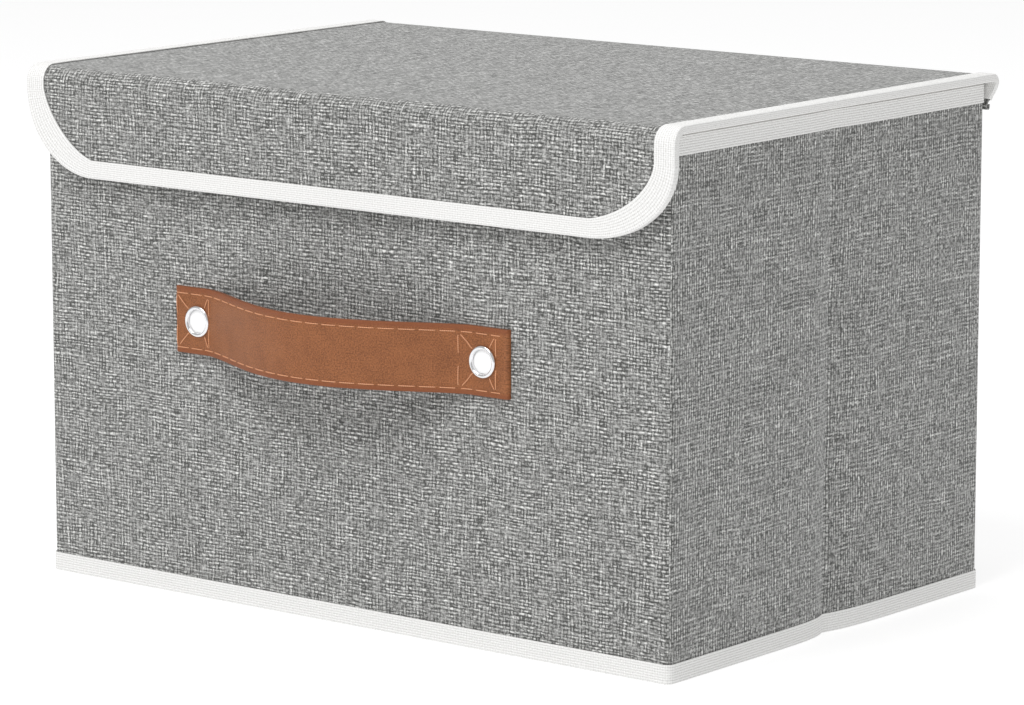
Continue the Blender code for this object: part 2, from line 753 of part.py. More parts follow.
def report_joints():
    """Say where the joints are, how far they go, and how thick the folded walls lie."""
    print(f"hinge turns {HINGE_TURN} degrees about X at {tuple(PIVOTS['hinge'])}")
    print(f"lid opens {LID_OPENING} degrees about X at {tuple(PIVOTS['lid'])}")
    print(f"flap lifts {FLAP_LIFT} degrees about X at {tuple(PIVOTS['flap'])}")
    print(f"walls fold {WALL_FOLD} degrees about Z at {tuple(PIVOTS['right_rear'])}")
    print(f"sides crease {2 * WALL_FOLD} degrees about Z at {tuple(PIVOTS['right_front'])}")
    folded = 2 * (CREASE_X - CORNER_X) + 2 * (WALL + TAPE_PROUD + FOLD_GAP)
    print(f"folded walls are {folded:.4f} thick; the flap hangs {flap_gap():.4f} off the front")


def main():
    clear_scene()
    box = Box()
    made = {wall.name: add_wall(box, wall) for wall in make_walls()}
    add_floor(box)
    add_hinge(box)
    add_lid(box)
    add_flap(box)
    add_handle(box, *made["front"])
    report_joints()


main()
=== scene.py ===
from math import cos, exp, hypot, pi, radians, sin, sqrt

import bmesh
import bpy
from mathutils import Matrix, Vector


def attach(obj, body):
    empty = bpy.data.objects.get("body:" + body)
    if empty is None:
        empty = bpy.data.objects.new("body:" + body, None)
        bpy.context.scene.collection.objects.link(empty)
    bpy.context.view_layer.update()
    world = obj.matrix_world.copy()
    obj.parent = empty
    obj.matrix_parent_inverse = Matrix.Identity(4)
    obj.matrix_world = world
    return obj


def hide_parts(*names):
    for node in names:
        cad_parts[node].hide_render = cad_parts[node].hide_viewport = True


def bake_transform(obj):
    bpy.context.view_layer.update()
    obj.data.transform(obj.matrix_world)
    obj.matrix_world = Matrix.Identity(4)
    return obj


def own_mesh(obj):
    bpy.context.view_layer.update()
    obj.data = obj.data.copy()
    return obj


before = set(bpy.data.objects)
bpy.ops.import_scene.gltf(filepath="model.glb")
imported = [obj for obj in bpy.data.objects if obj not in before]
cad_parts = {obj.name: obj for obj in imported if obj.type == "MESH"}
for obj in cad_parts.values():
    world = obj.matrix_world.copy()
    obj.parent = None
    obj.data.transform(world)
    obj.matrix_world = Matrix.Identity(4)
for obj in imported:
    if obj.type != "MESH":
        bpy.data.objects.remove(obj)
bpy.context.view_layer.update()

# Walls, over the cloth, and their layers inwards
HALF_WIDTH = 0.1900
HALF_DEPTH = 0.1254
BODY_HEIGHT = 0.2482
CORNER_RADIUS = 0.0030
INNER_CORNER_RADIUS = 0.0004
CLOTH = 0.0006
LINING = 0.0004
SEAT = 0.0003
TAPE = 0.0005
TAPE_PROUD = 0.0008
TAPE_FOLD_RADIUS = 0.0008
RIM_TAPE_WIDTH = 0.0100
BASE_TAPE_WIDTH = 0.0092
WALL = 0.0036
INNER_LAYER = 0.0020
PIVOT_INSET = 0.00465
PANEL_JOIN = 0.0600

# Crease of the side walls, drawn in towards the box: heights, and how deep it is there
PINCH_LEVELS = ((0.0, 0.0046), (0.1200, 0.0030), (BODY_HEIGHT, 0.0016))
PINCH_REACH_FRONT = 0.0090
PINCH_REACH_REAR = 0.0140
PINCH_ROUNDING = 0.0012

# Open corner, where the left side slides in under the front's cloth
LIP_END = 0.0042
UNDER_DEPTH = 0.0007
UNDER_START = 0.0030
UNDER_TURN = 100

# Lid, flap and the hinge behind; 1 is the right side and -1 the left
LID_HALF_WIDTH = 0.1955
LID_STACK = 0.0024
HINGE_STACK = 0.0013
LID_TOP = 0.2517
LID_TAPE_WIDTH = 0.0089
LID_BEND_RADIUS = 0.0075
FLAP_FACE_Y = -0.1319
FLAP_BOTTOM = 0.1993
FLAP_CORNER_RADIUS = 0.0420
FLAP_CORNERS = {1: (0.0475, 0.0360), -1: (0.0425, 0.0420)}
FLAP_SPREAD = {1: 0.0014, -1: 0.0009}
SPREAD_START = 0.1100
SPREAD_LENGTH = 0.0300
FLAP_TAPE_WIDER = 0.0024
FLAP_TAPE_BULGE = {1: 0.0017, -1: 0.0034}
HINGE_RADIUS = 0.0042
HEM_HALF_WIDTH = 0.1916
NARROWING_HEIGHT = 0.0110
HEM_ROLL = 0.0008
HEM_DROP = 0.0024
RIM_EDGE = BODY_HEIGHT - RIM_TAPE_WIDTH
LID_BEND_CENTRE = (FLAP_FACE_Y + LID_BEND_RADIUS, LID_TOP - LID_BEND_RADIUS)
HINGE_BEND_CENTRE = (HALF_DEPTH - 0.0007, LID_TOP - HINGE_RADIUS)
# Where the cloth is sewn to the back, down from the tape's edge; then how it leaves for the
# rim, out from the back and up from the tape's edge
HEM_SEAM = (0.0023, 0.0016)
SEAM_TO_WAIST = ((0.0017, -0.0003), (0.0027, 0.0010))
WAIST_TO_HINGE = ((0.0030, 0.0028), (0.0033, 0.0045))
HINGE_TO_BEND = ((0.0034, 0.0065),)

# Strap and its eyelets
STRAP_MIDDLE = -0.0020
STRAP_HALF = 0.1021
STRAP_BOW_MIDDLE = -0.0012
STRAP_FREE_HALF = 0.0811
STRAP_WIDTH = 0.0322
STRAP_HEIGHT = 0.1357
STRAP_BOW = 0.0275
UPPER_SEAM = 0.0129
LOWER_SEAM = -0.0135
STRAP_LEATHER = 0.0012
STRAP_BACKING = 0.0010
LEATHER_ROUNDING = 0.00055
STRAP_END_RADIUS = 0.0006
STRAP_TURN = STRAP_HALF - STRAP_LEATHER - STRAP_END_RADIUS
SEAM_GROOVE = 0.00022
SEAM_GROOVE_HALF = 0.0007
RIDGE_X = 0.0982
RIDGE = 0.00035
RIDGE_HALF = 0.0008
STRAP_FACE = SEAT + STRAP_BACKING + SEAT + STRAP_LEATHER
THREAD_RADIUS = 0.00027
THREAD_LIFT = 0.00016
THREAD_DIP = 0.00055
EYELET_X = 0.0875
EYELET_FLANGE_RADIUS = 0.0076
EYELET_BORE_RADIUS = 0.0056
HOLE_RADIUS = 0.00615
LIP_RADIUS = 0.0066

# Stitches: each seam's runs as start, end, stroke and gap; the rows across; the squares
SEAM_RUNS = ((-0.1013, 0.0725, 0.0082, 0.0007), (0.0742, 0.0991, 0.0078, 0.0011))
CROSS_ROWS = (-0.1008, -0.0794, 0.0734, 0.0951)
SQUARES = {-EYELET_X: (-0.1003, -0.0800), EYELET_X: (0.0741, 0.0945)}

# Light, in watts and levels of white; each lamp's name, place, target, size and power
WORLD_LIGHT = 0.555
FLOOR_REACH = 6.0
FLOOR_COLOUR = (0.50, 0.50, 0.50, 1.0)
FLOOR_GLOW = 0.61
LAMPS = (
    ("key", (-0.02, -1.75, 2.35), (0.0, 0.0, 0.12), 1.5, 41.5),
    ("overhead", (-0.15, 0.30, 2.60), (0.0, 0.0, 0.20), 1.8, 15.0),
)

# Camera, fitted to the photo's edges: angles in degrees, the lens in pixels of the photo's width
CAMERA_AZIMUTH = 38.60851
CAMERA_ELEVATION = 10.0766
CAMERA_DISTANCE = 2.3129
CAMERA_TARGET = (0.00025, 0.0, 0.11281)
LENS_PIXELS = 4740.74
PHOTO_WIDTH = 1024
SENSOR_WIDTH = 36.0


def make_mesh(name, points, faces, corners, material, grooves=None):
    """A smooth mesh object with a map in metres, its normals outwards and its folds sharp.

    grooves gives each point from 0 on a rib to 1 in a groove, and more in the rim's channel; the
    tape's colour darkens by it as painted shade.
    """
    mesh = bpy.data.meshes.new(name)
    mesh.from_pydata([tuple(p) for p in points], [], faces)
    layer = mesh.uv_layers.new(name="Thread")
    layer.data.foreach_set("uv", [value for corner in corners for value in corner])
    if grooves:
        layer = mesh.uv_layers.new(name="Groove")
        layer.data.foreach_set("uv", [grooves[i] for face in faces for i in face for _ in (0, 1)])
    bm = bmesh.new()
    bm.from_mesh(mesh)
    bmesh.ops.recalc_face_normals(bm, faces=bm.faces)
    bm.to_mesh(mesh)
    bm.free()
    mesh.shade_smooth()
    mesh.set_sharp_from_angle(angle=radians(50))
    mesh.materials.append(material)
    obj = bpy.data.objects.new(name, mesh)
    bpy.context.scene.collection.objects.link(obj)
    return obj


def join_rings(rings, count, map_at, base=0, closed=False):
    """Faces between rings of count points each, and the map at each face's corners.

    map_at(i, j) is the map of point j on ring i, and j also runs one past the last point. The
    first and last rings get flat ends, or are joined to each other where closed is true.
    """
    faces = []
    corners = []
    for i in range(rings if closed else rings - 1):
        low, high = base + i * count, base + (i + 1) % rings * count
        for j in range(count):
            k = (j + 1) % count
            faces.append((low + j, low + k, high + k, high + j))
            corners += [map_at(i, j), map_at(i, j + 1), map_at(i + 1, j + 1), map_at(i + 1, j)]
    if not closed:
        for i, order in ((0, range(count)[::-1]), (rings - 1, range(count))):
            faces.append(tuple(base + i * count + j for j in order))
            corners += [map_at(i, j) for j in order]
    return faces, corners


def flatten(rings):
    return [p for ring in rings for p in ring]


def tube(name, rings, along, around, material, grooves=None, turned_from=None):
    """Closed rings of points joined in order, with flat ends.

    From the ring turned_from on, the map is turned, so the weave's streaks run upright: painted light,
    standing in for light grazing the side walls.
    """
    count = len(rings[0])
    faces, corners = join_rings(len(rings), count, lambda i, j: (along[i], around[j]))
    if turned_from is not None:
        turned = slice(4 * count * turned_from, 4 * count * (len(rings) - 1))
        corners[turned] = [(v, u) for u, v in corners[turned]]
    each = grooves * len(rings) if grooves else None
    return make_mesh(name, flatten(rings), faces, corners, material, each)


def steps(start, end, pitch):
    """Evenly spaced values from start to end, both included."""
    count = max(1, round(abs(end - start) / pitch))
    return [start + (end - start) * i / count for i in range(count + 1)]


def arc(centre, radius, start, end, count):
    """Points on an arc in count steps, both ends included."""
    angles = [start + (end - start) * i / count for i in range(count + 1)]
    return [(centre[0] + radius * cos(a), centre[1] + radius * sin(a)) for a in angles]


def smooth(share):
    share = min(max(share, 0.0), 1.0)
    return share * share * (3 - 2 * share)


# Materials


class Graph:
    """A material's nodes, made by short calls."""

    def __init__(self, name):
        self.material = bpy.data.materials.new(name)
        self.material.use_nodes = True
        self.tree = self.material.node_tree
        self.shader = self.tree.nodes["Principled BSDF"]

    def node(self, kind, **settings):
        made = self.tree.nodes.new(kind)
        for key, value in settings.items():
            setattr(made, key, value)
        return made

    def put(self, value, socket):
        if isinstance(value, bpy.types.NodeSocket):
            self.tree.links.new(value, socket)
        else:
            socket.default_value = value

    def math(self, operation, first, second=0.0, third=0.0):
        made = self.node("ShaderNodeMath", operation=operation)
        for value, socket in zip((first, second, third), made.inputs):
            self.put(value, socket)
        return made.outputs[0]

    def map_parts(self, name):
        source = self.node("ShaderNodeUVMap", uv_map=name)
        parts = self.node("ShaderNodeSeparateXYZ")
        self.put(source.outputs[0], parts.inputs[0])
        return parts.outputs[0], parts.outputs[1]

    def thread_map(self):
        """The map's two lengths, in millimetres."""
        return [self.times(part, 1000.0) for part in self.map_parts("Thread")]

    def times(self, first, second):
        return self.math("MULTIPLY", first, second)

    def plus(self, value, first, second):
        """value and the product of the other two."""
        return self.math("MULTIPLY_ADD", first, second, value)

    def vector(self, x, y):
        made = self.node("ShaderNodeCombineXYZ")
        self.put(x, made.inputs[0])
        self.put(y, made.inputs[1])
        return made.outputs[0]

    def noise(self, vector, scale, detail, roughness=0.5):
        made = self.node("ShaderNodeTexNoise", noise_dimensions="2D")
        self.put(vector, made.inputs["Vector"])
        made.inputs["Scale"].default_value = scale
        made.inputs["Detail"].default_value = detail
        made.inputs["Roughness"].default_value = roughness
        return made.outputs[0]

    def swing(self, vector, scale, detail, roughness=0.5):
        """Noise about zero."""
        return self.math("SUBTRACT", self.noise(vector, scale, detail, roughness), 0.5)

    def speckle(self, scale):
        """Fine noise in the piece's own metres."""
        source = self.node("ShaderNodeTexCoord")
        made = self.node("ShaderNodeTexNoise")
        self.put(source.outputs["Object"], made.inputs["Vector"])
        made.inputs["Scale"].default_value = scale
        return made.outputs[0]

    def span(self, value, low, high, to_low=0.0, to_high=1.0):
        made = self.node("ShaderNodeMapRange", clamp=True)
        for item, socket in zip((value, low, high, to_low, to_high), made.inputs):
            self.put(item, socket)
        return made.outputs[0]

    def blend_colours(self, share, first, second):
        made = self.node("ShaderNodeMix", data_type="RGBA")
        self.put(share, made.inputs[0])
        self.put(first, made.inputs[6])
        self.put(second, made.inputs[7])
        return made.outputs[2]

    def bump(self, height, distance, strength):
        made = self.node("ShaderNodeBump")
        self.put(height, made.inputs["Height"])
        made.inputs["Distance"].default_value = distance
        made.inputs["Strength"].default_value = strength
        self.put(made.outputs[0], self.shader.inputs["Normal"])

    def finish(self, colour, roughness, **others):
        self.put(colour, self.shader.inputs["Base Color"])
        self.put(roughness, self.shader.inputs["Roughness"])
        for key, value in others.items():
            self.put(value, self.shader.inputs[key.replace("_", " ")])
        return self.material


def woven_cloth(name, top=None):
    """Melange plain weave: light threads that swell along their length, over gaps darkened by painted
    shade.

    top gives two places up the map, between which the cloth lies level and gets rows of painted light
    and shade, in dashes standing in for its threads' relief at a grazing angle.
    """
    warp_pitch, weft_pitch, strip_pitch, fade = 2.06, 1.70, 4.3, 12
    g = Graph(name)
    across, up = g.thread_map()
    place = g.vector(across, up)
    turned = g.vector(up, across)

    # Threads run straight, but not evenly spaced: bends across many threads, then finer ones
    def uneven(value, here, along, fine_at, amounts):
        value = g.plus(value, g.swing(fine_at, 0.50, 1.0), amounts[0])
        value = g.plus(value, g.swing(along, 0.16, 1.0), amounts[1])
        return g.plus(value, g.swing(here, 0.030, 1.0), amounts[2])

    beside = g.vector(across, g.times(up, 0.05))
    above = g.vector(up, g.times(across, 0.05))
    x = g.math("DIVIDE", uneven(across, place, beside, turned, (0.6, 2.6, 3.0)), warp_pitch)
    y = g.math("DIVIDE", uneven(up, turned, above, place, (0.5, 2.2, 2.5)), weft_pitch)

    # Where each thread lies, and where it passes over the one that crosses it
    column, row = g.math("FLOOR", x), g.math("FLOOR", y)
    wave_x = g.math("SINE", g.times(x, pi))
    wave_y = g.math("SINE", g.times(y, pi))
    round_x, round_y = g.math("ABSOLUTE", wave_x), g.math("ABSOLUTE", wave_y)
    weft_rise = g.times(wave_x, g.math("SIGN", wave_y))
    warp_rise = g.times(g.times(wave_y, g.math("SIGN", wave_x)), -1.0)

    # Each thread is lighter where it is thick, and neighbours share part of it
    weft_slub = g.noise(g.vector(g.times(across, 0.070), g.times(row, 1.13)), 1.0, 3.0, 0.7)
    warp_slub = g.noise(g.vector(g.times(up, 0.070), g.times(column, 1.31)), 1.0, 3.0, 0.7)
    patch = g.swing(place, 0.070, 1.0)
    weft_thick = g.plus(g.span(weft_slub, 0.28, 0.74, 0.08, 0.86), patch, 0.45)
    warp_thick = g.plus(g.span(warp_slub, 0.30, 0.74, -0.08, 0.66), patch, -0.45)
    weft = g.times(g.math("POWER", round_y, 2.2), g.plus(weft_thick, weft_rise, 0.40))
    warp = g.times(g.math("POWER", round_x, 3.0), g.plus(warp_thick, warp_rise, 0.42))
    height = g.math("MAXIMUM", g.math("MAXIMUM", weft, warp), 0.0)

    # Contrast that comes and goes over the cloth, and single fibres along both threads
    middle = 0.36
    crisp = g.span(g.noise(turned, 0.115, 2.0, 0.6), 0.34, 0.66, 0.45, 1.25)
    lying = g.vector(g.times(across, 0.30), g.times(up, 1.5))
    standing = g.vector(g.times(across, 1.5), g.times(up, 0.30))
    value = g.plus(middle, g.math("SUBTRACT", height, middle), crisp)
    value = g.math("ADD", g.swing(place, 1.15, 3.0, 0.8), value)
    value = g.plus(value, g.swing(lying, 0.8, 2.0, 0.7), 1.3)
    value = g.plus(value, g.swing(standing, 0.8, 2.0, 0.7), 0.8)
    # Painted light and shade on the lid's level top: dashes in rows, for the threads' relief lit at a
    # grazing angle
    if top:
        start, end = top
        strip = g.math("FLOOR", g.math("DIVIDE", up, strip_pitch))
        painted_relief_shade = g.swing(g.vector(g.times(across, 0.55), g.times(strip, 1.7)), 1.0, 1.0)
        level = g.times(g.span(up, start, start + fade), g.span(up, end - fade, end, 1.0, 0.0))
        value = g.plus(value, g.times(painted_relief_shade, level), 0.9)
    # Painted shade: the colour follows the threads' height, so it is dark down in the gaps; the slubs,
    # patches and fibres are the melange's own tone
    shade = g.math("POWER", g.span(value, -0.04, 1.16), 1.25)
    colour = g.blend_colours(shade, (0.060, 0.061, 0.057, 1.0), (0.86, 0.86, 0.84, 1.0))
    g.bump(height, 0.00045, 0.7)
    return g.finish(colour, 0.92, Specular_IOR_Level=0.15, Sheen_Weight=0.45, Sheen_Roughness=0.5)


def woven_tape():
    """White woven binding: fine ticks across it, and shade down in its grooves."""
    tick_pitch = 0.95
    g = Graph("binding_weave")
    along, across = g.thread_map()
    groove = g.math("POWER", g.map_parts("Groove")[0], 2.0)
    tick = g.math("ABSOLUTE", g.math("SINE", g.times(along, pi / tick_pitch)))
    fleck = g.noise(g.vector(along, across), 1.3, 2.0, 0.7)
    share = g.plus(g.span(fleck, 0.25, 0.75, 0.0, 0.65), tick, 0.35)
    share = g.span(g.plus(share, groove, -0.75), -0.6, 1.0)
    colour = g.blend_colours(share, (0.52, 0.51, 0.495, 1.0), (0.96, 0.96, 0.95, 1.0))
    g.bump(g.plus(tick, fleck, 0.6), 0.00010, 0.6)
    return g.finish(colour, 0.85, Specular_IOR_Level=0.25)


def plain_lining():
    """Grey felted lining with rows of small dents."""
    dent_pitch = 1.6
    g = Graph("nonwoven_lining")
    across, up = g.thread_map()
    dents = [g.math("SINE", g.times(part, 2 * pi / dent_pitch)) for part in (across, up)]
    height = g.times(*dents)
    share = g.plus(g.noise(g.vector(across, up), 1.5, 2.0, 0.6), height, 0.12)
    colour = g.blend_colours(share, (0.27, 0.27, 0.262, 1.0), (0.44, 0.437, 0.425, 1.0))
    g.bump(height, 0.00006, 0.6)
    return g.finish(colour, 0.95, Specular_IOR_Level=0.15)


def plain_board():
    g = Graph("pale_board")
    pale, paler = (0.93, 0.93, 0.93, 1.0), (0.97, 0.97, 0.97, 1.0)
    return g.finish(g.blend_colours(g.speckle(900.0), pale, paler), 0.9)


def grained_leather(name, dark, light, edge):
    """Leather with a fine pebbled grain, and painted shade darkening it along its two long edges."""
    edge_start, edge_full = 13.2, 14.6
    g = Graph(name)
    along, across = g.thread_map()
    place = g.vector(along, across)
    cells = g.node("ShaderNodeTexVoronoi", voronoi_dimensions="2D", feature="DISTANCE_TO_EDGE")
    g.put(place, cells.inputs["Vector"])
    cells.inputs["Scale"].default_value = 1.5
    pebble = g.span(cells.outputs["Distance"], 0.0, 0.22)
    cloud = g.noise(place, 0.10, 3.0, 0.6)
    fleck = g.noise(place, 1.4, 2.0, 0.6)
    share = g.plus(g.times(fleck, 0.78), cloud, 0.22)
    share = g.times(g.span(share, 0.34, 0.66), g.plus(0.55, pebble, 0.45))
    colour = g.blend_colours(share, dark, light)
    # Painted shade: darker from beside the seams out to the long edges
    out = g.math("ABSOLUTE", g.math("SUBTRACT", across, STRAP_HEIGHT * 1000))
    colour = g.blend_colours(g.span(out, edge_start, edge_full, 0.0, 0.75), colour, edge)
    g.bump(g.plus(g.times(fleck, 0.6), pebble, 0.7), 0.00014, 0.75)
    return g.finish(colour, 0.46, Specular_IOR_Level=0.32)


def twisted_thread():
    """Sewing thread, with the bands of its twist running round it."""
    twist_pitch = 0.9
    g = Graph("stitch_thread")
    along, around = g.thread_map()
    turn = g.plus(g.times(around, 2 * pi), along, 2 * pi / twist_pitch)
    twist = g.math("SINE", turn)
    share = g.span(twist, -1.0, 1.0)
    colour = g.blend_colours(share, (0.52, 0.22, 0.105, 1.0), (0.74, 0.38, 0.21, 1.0))
    g.bump(twist, 0.00006, 0.5)
    return g.finish(colour, 0.6)


def polished_metal():
    g = Graph("plated_metal")
    roughness = g.span(g.speckle(700.0), 0.3, 0.7, 0.14, 0.22)
    return g.finish((0.80, 0.80, 0.81, 1.0), roughness, Metallic=1.0)


CLOTH_WEAVE = woven_cloth("melange_weave")
TAPE_WEAVE = woven_tape()
LINING_FELT = plain_lining()
BOARD = plain_board()
# Each leather's edge colour is painted shade along the strap's long edges
LEATHER = grained_leather(
    "tan_leather",
    dark=(0.185, 0.062, 0.020, 1.0), light=(0.405, 0.150, 0.054, 1.0), edge=(0.230, 0.066, 0.022, 1.0),
)
BACKING = grained_leather(
    "tan_leather_back",
    dark=(0.20, 0.065, 0.025, 1.0), light=(0.30, 0.11, 0.045, 1.0), edge=(0.22, 0.07, 0.025, 1.0),
)
THREAD = twisted_thread()
METAL = polished_metal()


# Folded edge tape


def tape_ring(width, stack, leg_ribs, web_ribs, relief, channel=0.0):
    """Round a tape's section: in from the edge and out from the cloth's face.

    It comes with the length so far and with how deep in a groove each point is; the tape's colour
    darkens with it as painted shade. channel is the depth of one more groove, where the fold begins,
    cut into the shape and marked deeper than any rib, so that painted shade draws a dark line there
    under the lid's overhang.
    """
    fold = TAPE_FOLD_RADIUS
    top, low = TAPE_PROUD, -stack - TAPE_PROUD
    chain = []
    depths = []

    def ribbed(start, end, normal, ribs):
        count = ribs * 4
        for i in range(count + 1):
            share = i / count
            down = 1 - abs(sin(pi * share * ribs))
            sunk = relief * down
            # Painted shade: the channel is a real groove, and its groove value of 1.6 darkens the
            # tape's colour past any rib's, for the shadow under the lid's overhang
            if channel and normal[1] > 0 and i >= count - 1:
                sunk, down = channel, 1.6
            chain.append((
                start[0] + (end[0] - start[0]) * share - normal[0] * sunk,
                start[1] + (end[1] - start[1]) * share - normal[1] * sunk,
            ))
            depths.append(down)

    def rounded(centre, start, end):
        turn = arc(centre, fold, start, end, 5)[1:-1]
        chain.extend(turn)
        depths.extend([0.0] * len(turn))

    ribbed((width, top), (fold, top), (0, 1), leg_ribs)
    rounded((fold, top - fold), pi / 2, pi)
    ribbed((0, top - fold), (0, low + fold), (-1, 0), web_ribs)
    rounded((fold, low + fold), pi, 3 * pi / 2)
    ribbed((fold, low), (width, low), (0, -1), leg_ribs)
    inner = fold - TAPE
    back = [
        (width, low + TAPE), (TAPE + inner, low + TAPE), (TAPE, low + TAPE + inner),
        (TAPE, top - TAPE - inner), (TAPE + inner, top - TAPE), (width, top - TAPE),
    ]
    ring = chain + back
    depths += [0.5] * len(back)
    lengths = [0.0]
    for here, there in zip(ring, ring[1:] + ring[:1]):
        lengths.append(lengths[-1] + hypot(there[0] - here[0], there[1] - here[1]))
    return ring, lengths, depths


# Walls


def pinch(y, z):
    """How far the side wall is drawn in at its crease."""
    for (low, low_depth), (high, high_depth) in zip(PINCH_LEVELS, PINCH_LEVELS[1:]):
        if z <= high:
            break
    share = min(max((z - low) / (high - low), 0.0), 1.0)
    depth = low_depth + (high_depth - low_depth) * share
    reach = PINCH_REACH_FRONT if y < 0 else PINCH_REACH_REAR
    distance = sqrt(y * y + PINCH_ROUNDING ** 2) - PINCH_ROUNDING
    return depth * exp(-distance / reach)


def plan_point(station, depth, z, side, end):
    """Where a station of the outline lies at a depth under the cloth's face.

    side is 1 for the right and -1 for the left; end is -1 for the front and 1 for the back.
    """
    kind, value = station
    if kind == "face":
        return Vector((side * value, end * (HALF_DEPTH - depth), z))
    if kind == "side":
        return Vector((side * (HALF_WIDTH - depth - pinch(value, z)), value, z))
    if kind == "under":
        return under_point(value, depth, z, side, end)
    if kind == "lip" and depth > INNER_LAYER:
        value = min(value, pi / 4)
    radius = max(CORNER_RADIUS - depth, INNER_CORNER_RADIUS)
    x = HALF_WIDTH - depth - radius + radius * sin(value)
    y = HALF_DEPTH - depth - radius + radius * cos(value)
    if kind == "lip" and value > pi / 2:
        x = HALF_WIDTH - depth
        y = HALF_DEPTH - depth - radius - (value - pi / 2) * radius
    return Vector((side * x, end * y, z))


def under_point(turn, depth, z, side, end):
    """The side's end, slid in under the front's: an arc about the corner's pivot."""
    centre_x = HALF_WIDTH - PIVOT_INSET
    centre_y = HALF_DEPTH - PIVOT_INSET
    if depth > INNER_LAYER:
        inner = min(PIVOT_INSET - depth, 0.0)
        y = centre_y - inner - INNER_CORNER_RADIUS
        return Vector((side * (HALF_WIDTH - depth), end * y, z))
    if turn <= 0:
        sunk = UNDER_DEPTH * smooth((turn + 0.0022) / 0.0012)
        return Vector((side * (HALF_WIDTH - depth - sunk), end * (centre_y + turn), z))
    radius = PIVOT_INSET - depth - UNDER_DEPTH
    x = centre_x + radius * cos(turn)
    y = centre_y + radius * sin(turn)
    return Vector((side * x, end * y, z))


def corner_stations(kind="corner"):
    last = pi / 2
    values = [last * i / 8 for i in range(9)]
    if kind == "lip":
        straight = LIP_END - CORNER_RADIUS
        values += [last + straight * i / 2 / CORNER_RADIUS for i in (1, 2)]
    return [(kind, v) for v in values]


def face_stations(reach=HALF_WIDTH - CORNER_RADIUS):
    """From the middle of the front or back to where its corner begins."""
    return [("face", x) for x in steps(0.0, reach, 0.006)]


def side_stations(start, end, pitch=0.006):
    return [("side", y) for y in steps(start, end, pitch)]


def quadrant(end):
    """From the middle of the front or back, round a corner, to the join on the side."""
    start = end * (HALF_DEPTH - CORNER_RADIUS)
    return face_stations() + corner_stations() + side_stations(start, end * PANEL_JOIN)[1:]


def crease_stations():
    near = 0.010
    return (
        side_stations(-PANEL_JOIN, -near)
        + side_stations(-near, near, 0.0008)[1:]
        + side_stations(near, PANEL_JOIN)[1:]
    )


def under_stations():
    """From the join on the side to the open corner and in under it."""
    start = -PANEL_JOIN
    end = -(HALF_DEPTH - PIVOT_INSET - UNDER_START)
    flats = [("under", t) for t in steps(-UNDER_START, 0.0, 0.0003)]
    turn = radians(UNDER_TURN)
    arcs = [("under", turn * i / 10) for i in range(1, 11)]
    return side_stations(start, end) + flats[1:] + arcs


def run_lengths(stations, side, end, start):
    """Lengths along the cloth's face at about mid height, for the map."""
    places = [plan_point(station, 0.0, 0.12, side, end) for station in stations]
    out = [start]
    for here, there in zip(places, places[1:]):
        out.append(out[-1] + (there - here).length)
    return out


def first_on_side(stations):
    """The station in the middle of the corner, from which the side's cloth begins."""
    for i, (kind, value) in enumerate(stations):
        if kind in ("side", "under") or value >= pi / 4 and kind in ("corner", "lip"):
            return i
    return None


def wall_layer(name, part, ring, around, material, slot_name, grooves):
    """One layer of one run of the outline, all the way up."""
    stations, side, end, start, _, _ = part
    rings = [[plan_point(s, depth, z, side, end) for depth, z in ring] for s in stations]
    lengths = run_lengths(stations, side, end, start)
    # Painted light: on the side walls the weave's map is turned, so its streaks run upright as grazing
    # light would show them
    turned_from = first_on_side(stations) if slot_name == "grey_cloth" else None
    obj = tube(name, rings, lengths, around, material, grooves, turned_from)
    return obj


def sheet_ring(near, far, low, high, pitch=0.010):
    """A thin upright sheet's section, and the map's height at each of its points."""
    up = steps(low, high, pitch)
    ring = [(near, z) for z in up] + [(far, z) for z in reversed(up)]
    return ring, [z for _, z in ring] + [low]


def upright(ring, lengths, turn_over):
    """A tape's section as depth and height, for the top edge or the bottom one."""
    if turn_over:
        return [(-out, BODY_HEIGHT - inwards) for inwards, out in ring], lengths
    return [(-out, inwards) for inwards, out in ring], lengths


CORNER_IN_X = HALF_WIDTH - 0.0070
CORNER_IN_Y = HALF_DEPTH - 0.0075
CORNER_BLEND = {
    (1, -1): ((CORNER_IN_X, -HALF_DEPTH, 0.0), (HALF_WIDTH, -CORNER_IN_Y, 0.0)),
    (1, 1): ((HALF_WIDTH, CORNER_IN_Y, 0.0), (CORNER_IN_X, HALF_DEPTH, 0.0)),
    (-1, 1): ((-HALF_WIDTH, CORNER_IN_Y, 0.0), (-CORNER_IN_X, HALF_DEPTH, 0.0)),
}
CREASE_BLEND = 0.0040

# Each run of the outline: stations, side, end, where its map starts, bodies, and the blend's ends
WALL_RUNS = {
    "front_right": (quadrant(-1), 1, -1, 0.0, ("front", "right_front"), CORNER_BLEND[(1, -1)]),
    "right_crease": (
        crease_stations(), 1, -1, 0.25, ("right_front", "right_rear"),
        ((0.19, -CREASE_BLEND, 0.0), (0.19, CREASE_BLEND, 0.0)),
    ),
    "rear_right": (
        quadrant(1), 1, 1, 0.70, ("right_rear", "back"), CORNER_BLEND[(1, 1)],
    ),
    "rear_left": (
        quadrant(1), -1, 1, 1.20, ("left_rear", "back"), CORNER_BLEND[(-1, 1)],
    ),
    "left_crease": (
        crease_stations(), -1, -1, 1.70, ("left_front", "left_rear"),
        ((-0.19, -CREASE_BLEND, 0.0), (-0.19, CREASE_BLEND, 0.0)),
    ),
    "left_end": (under_stations(), -1, -1, 2.20, ("left_front",), None),
    "front_left": (
        face_stations() + corner_stations("lip"), -1, -1, -0.60, ("front",), None,
    ),
}


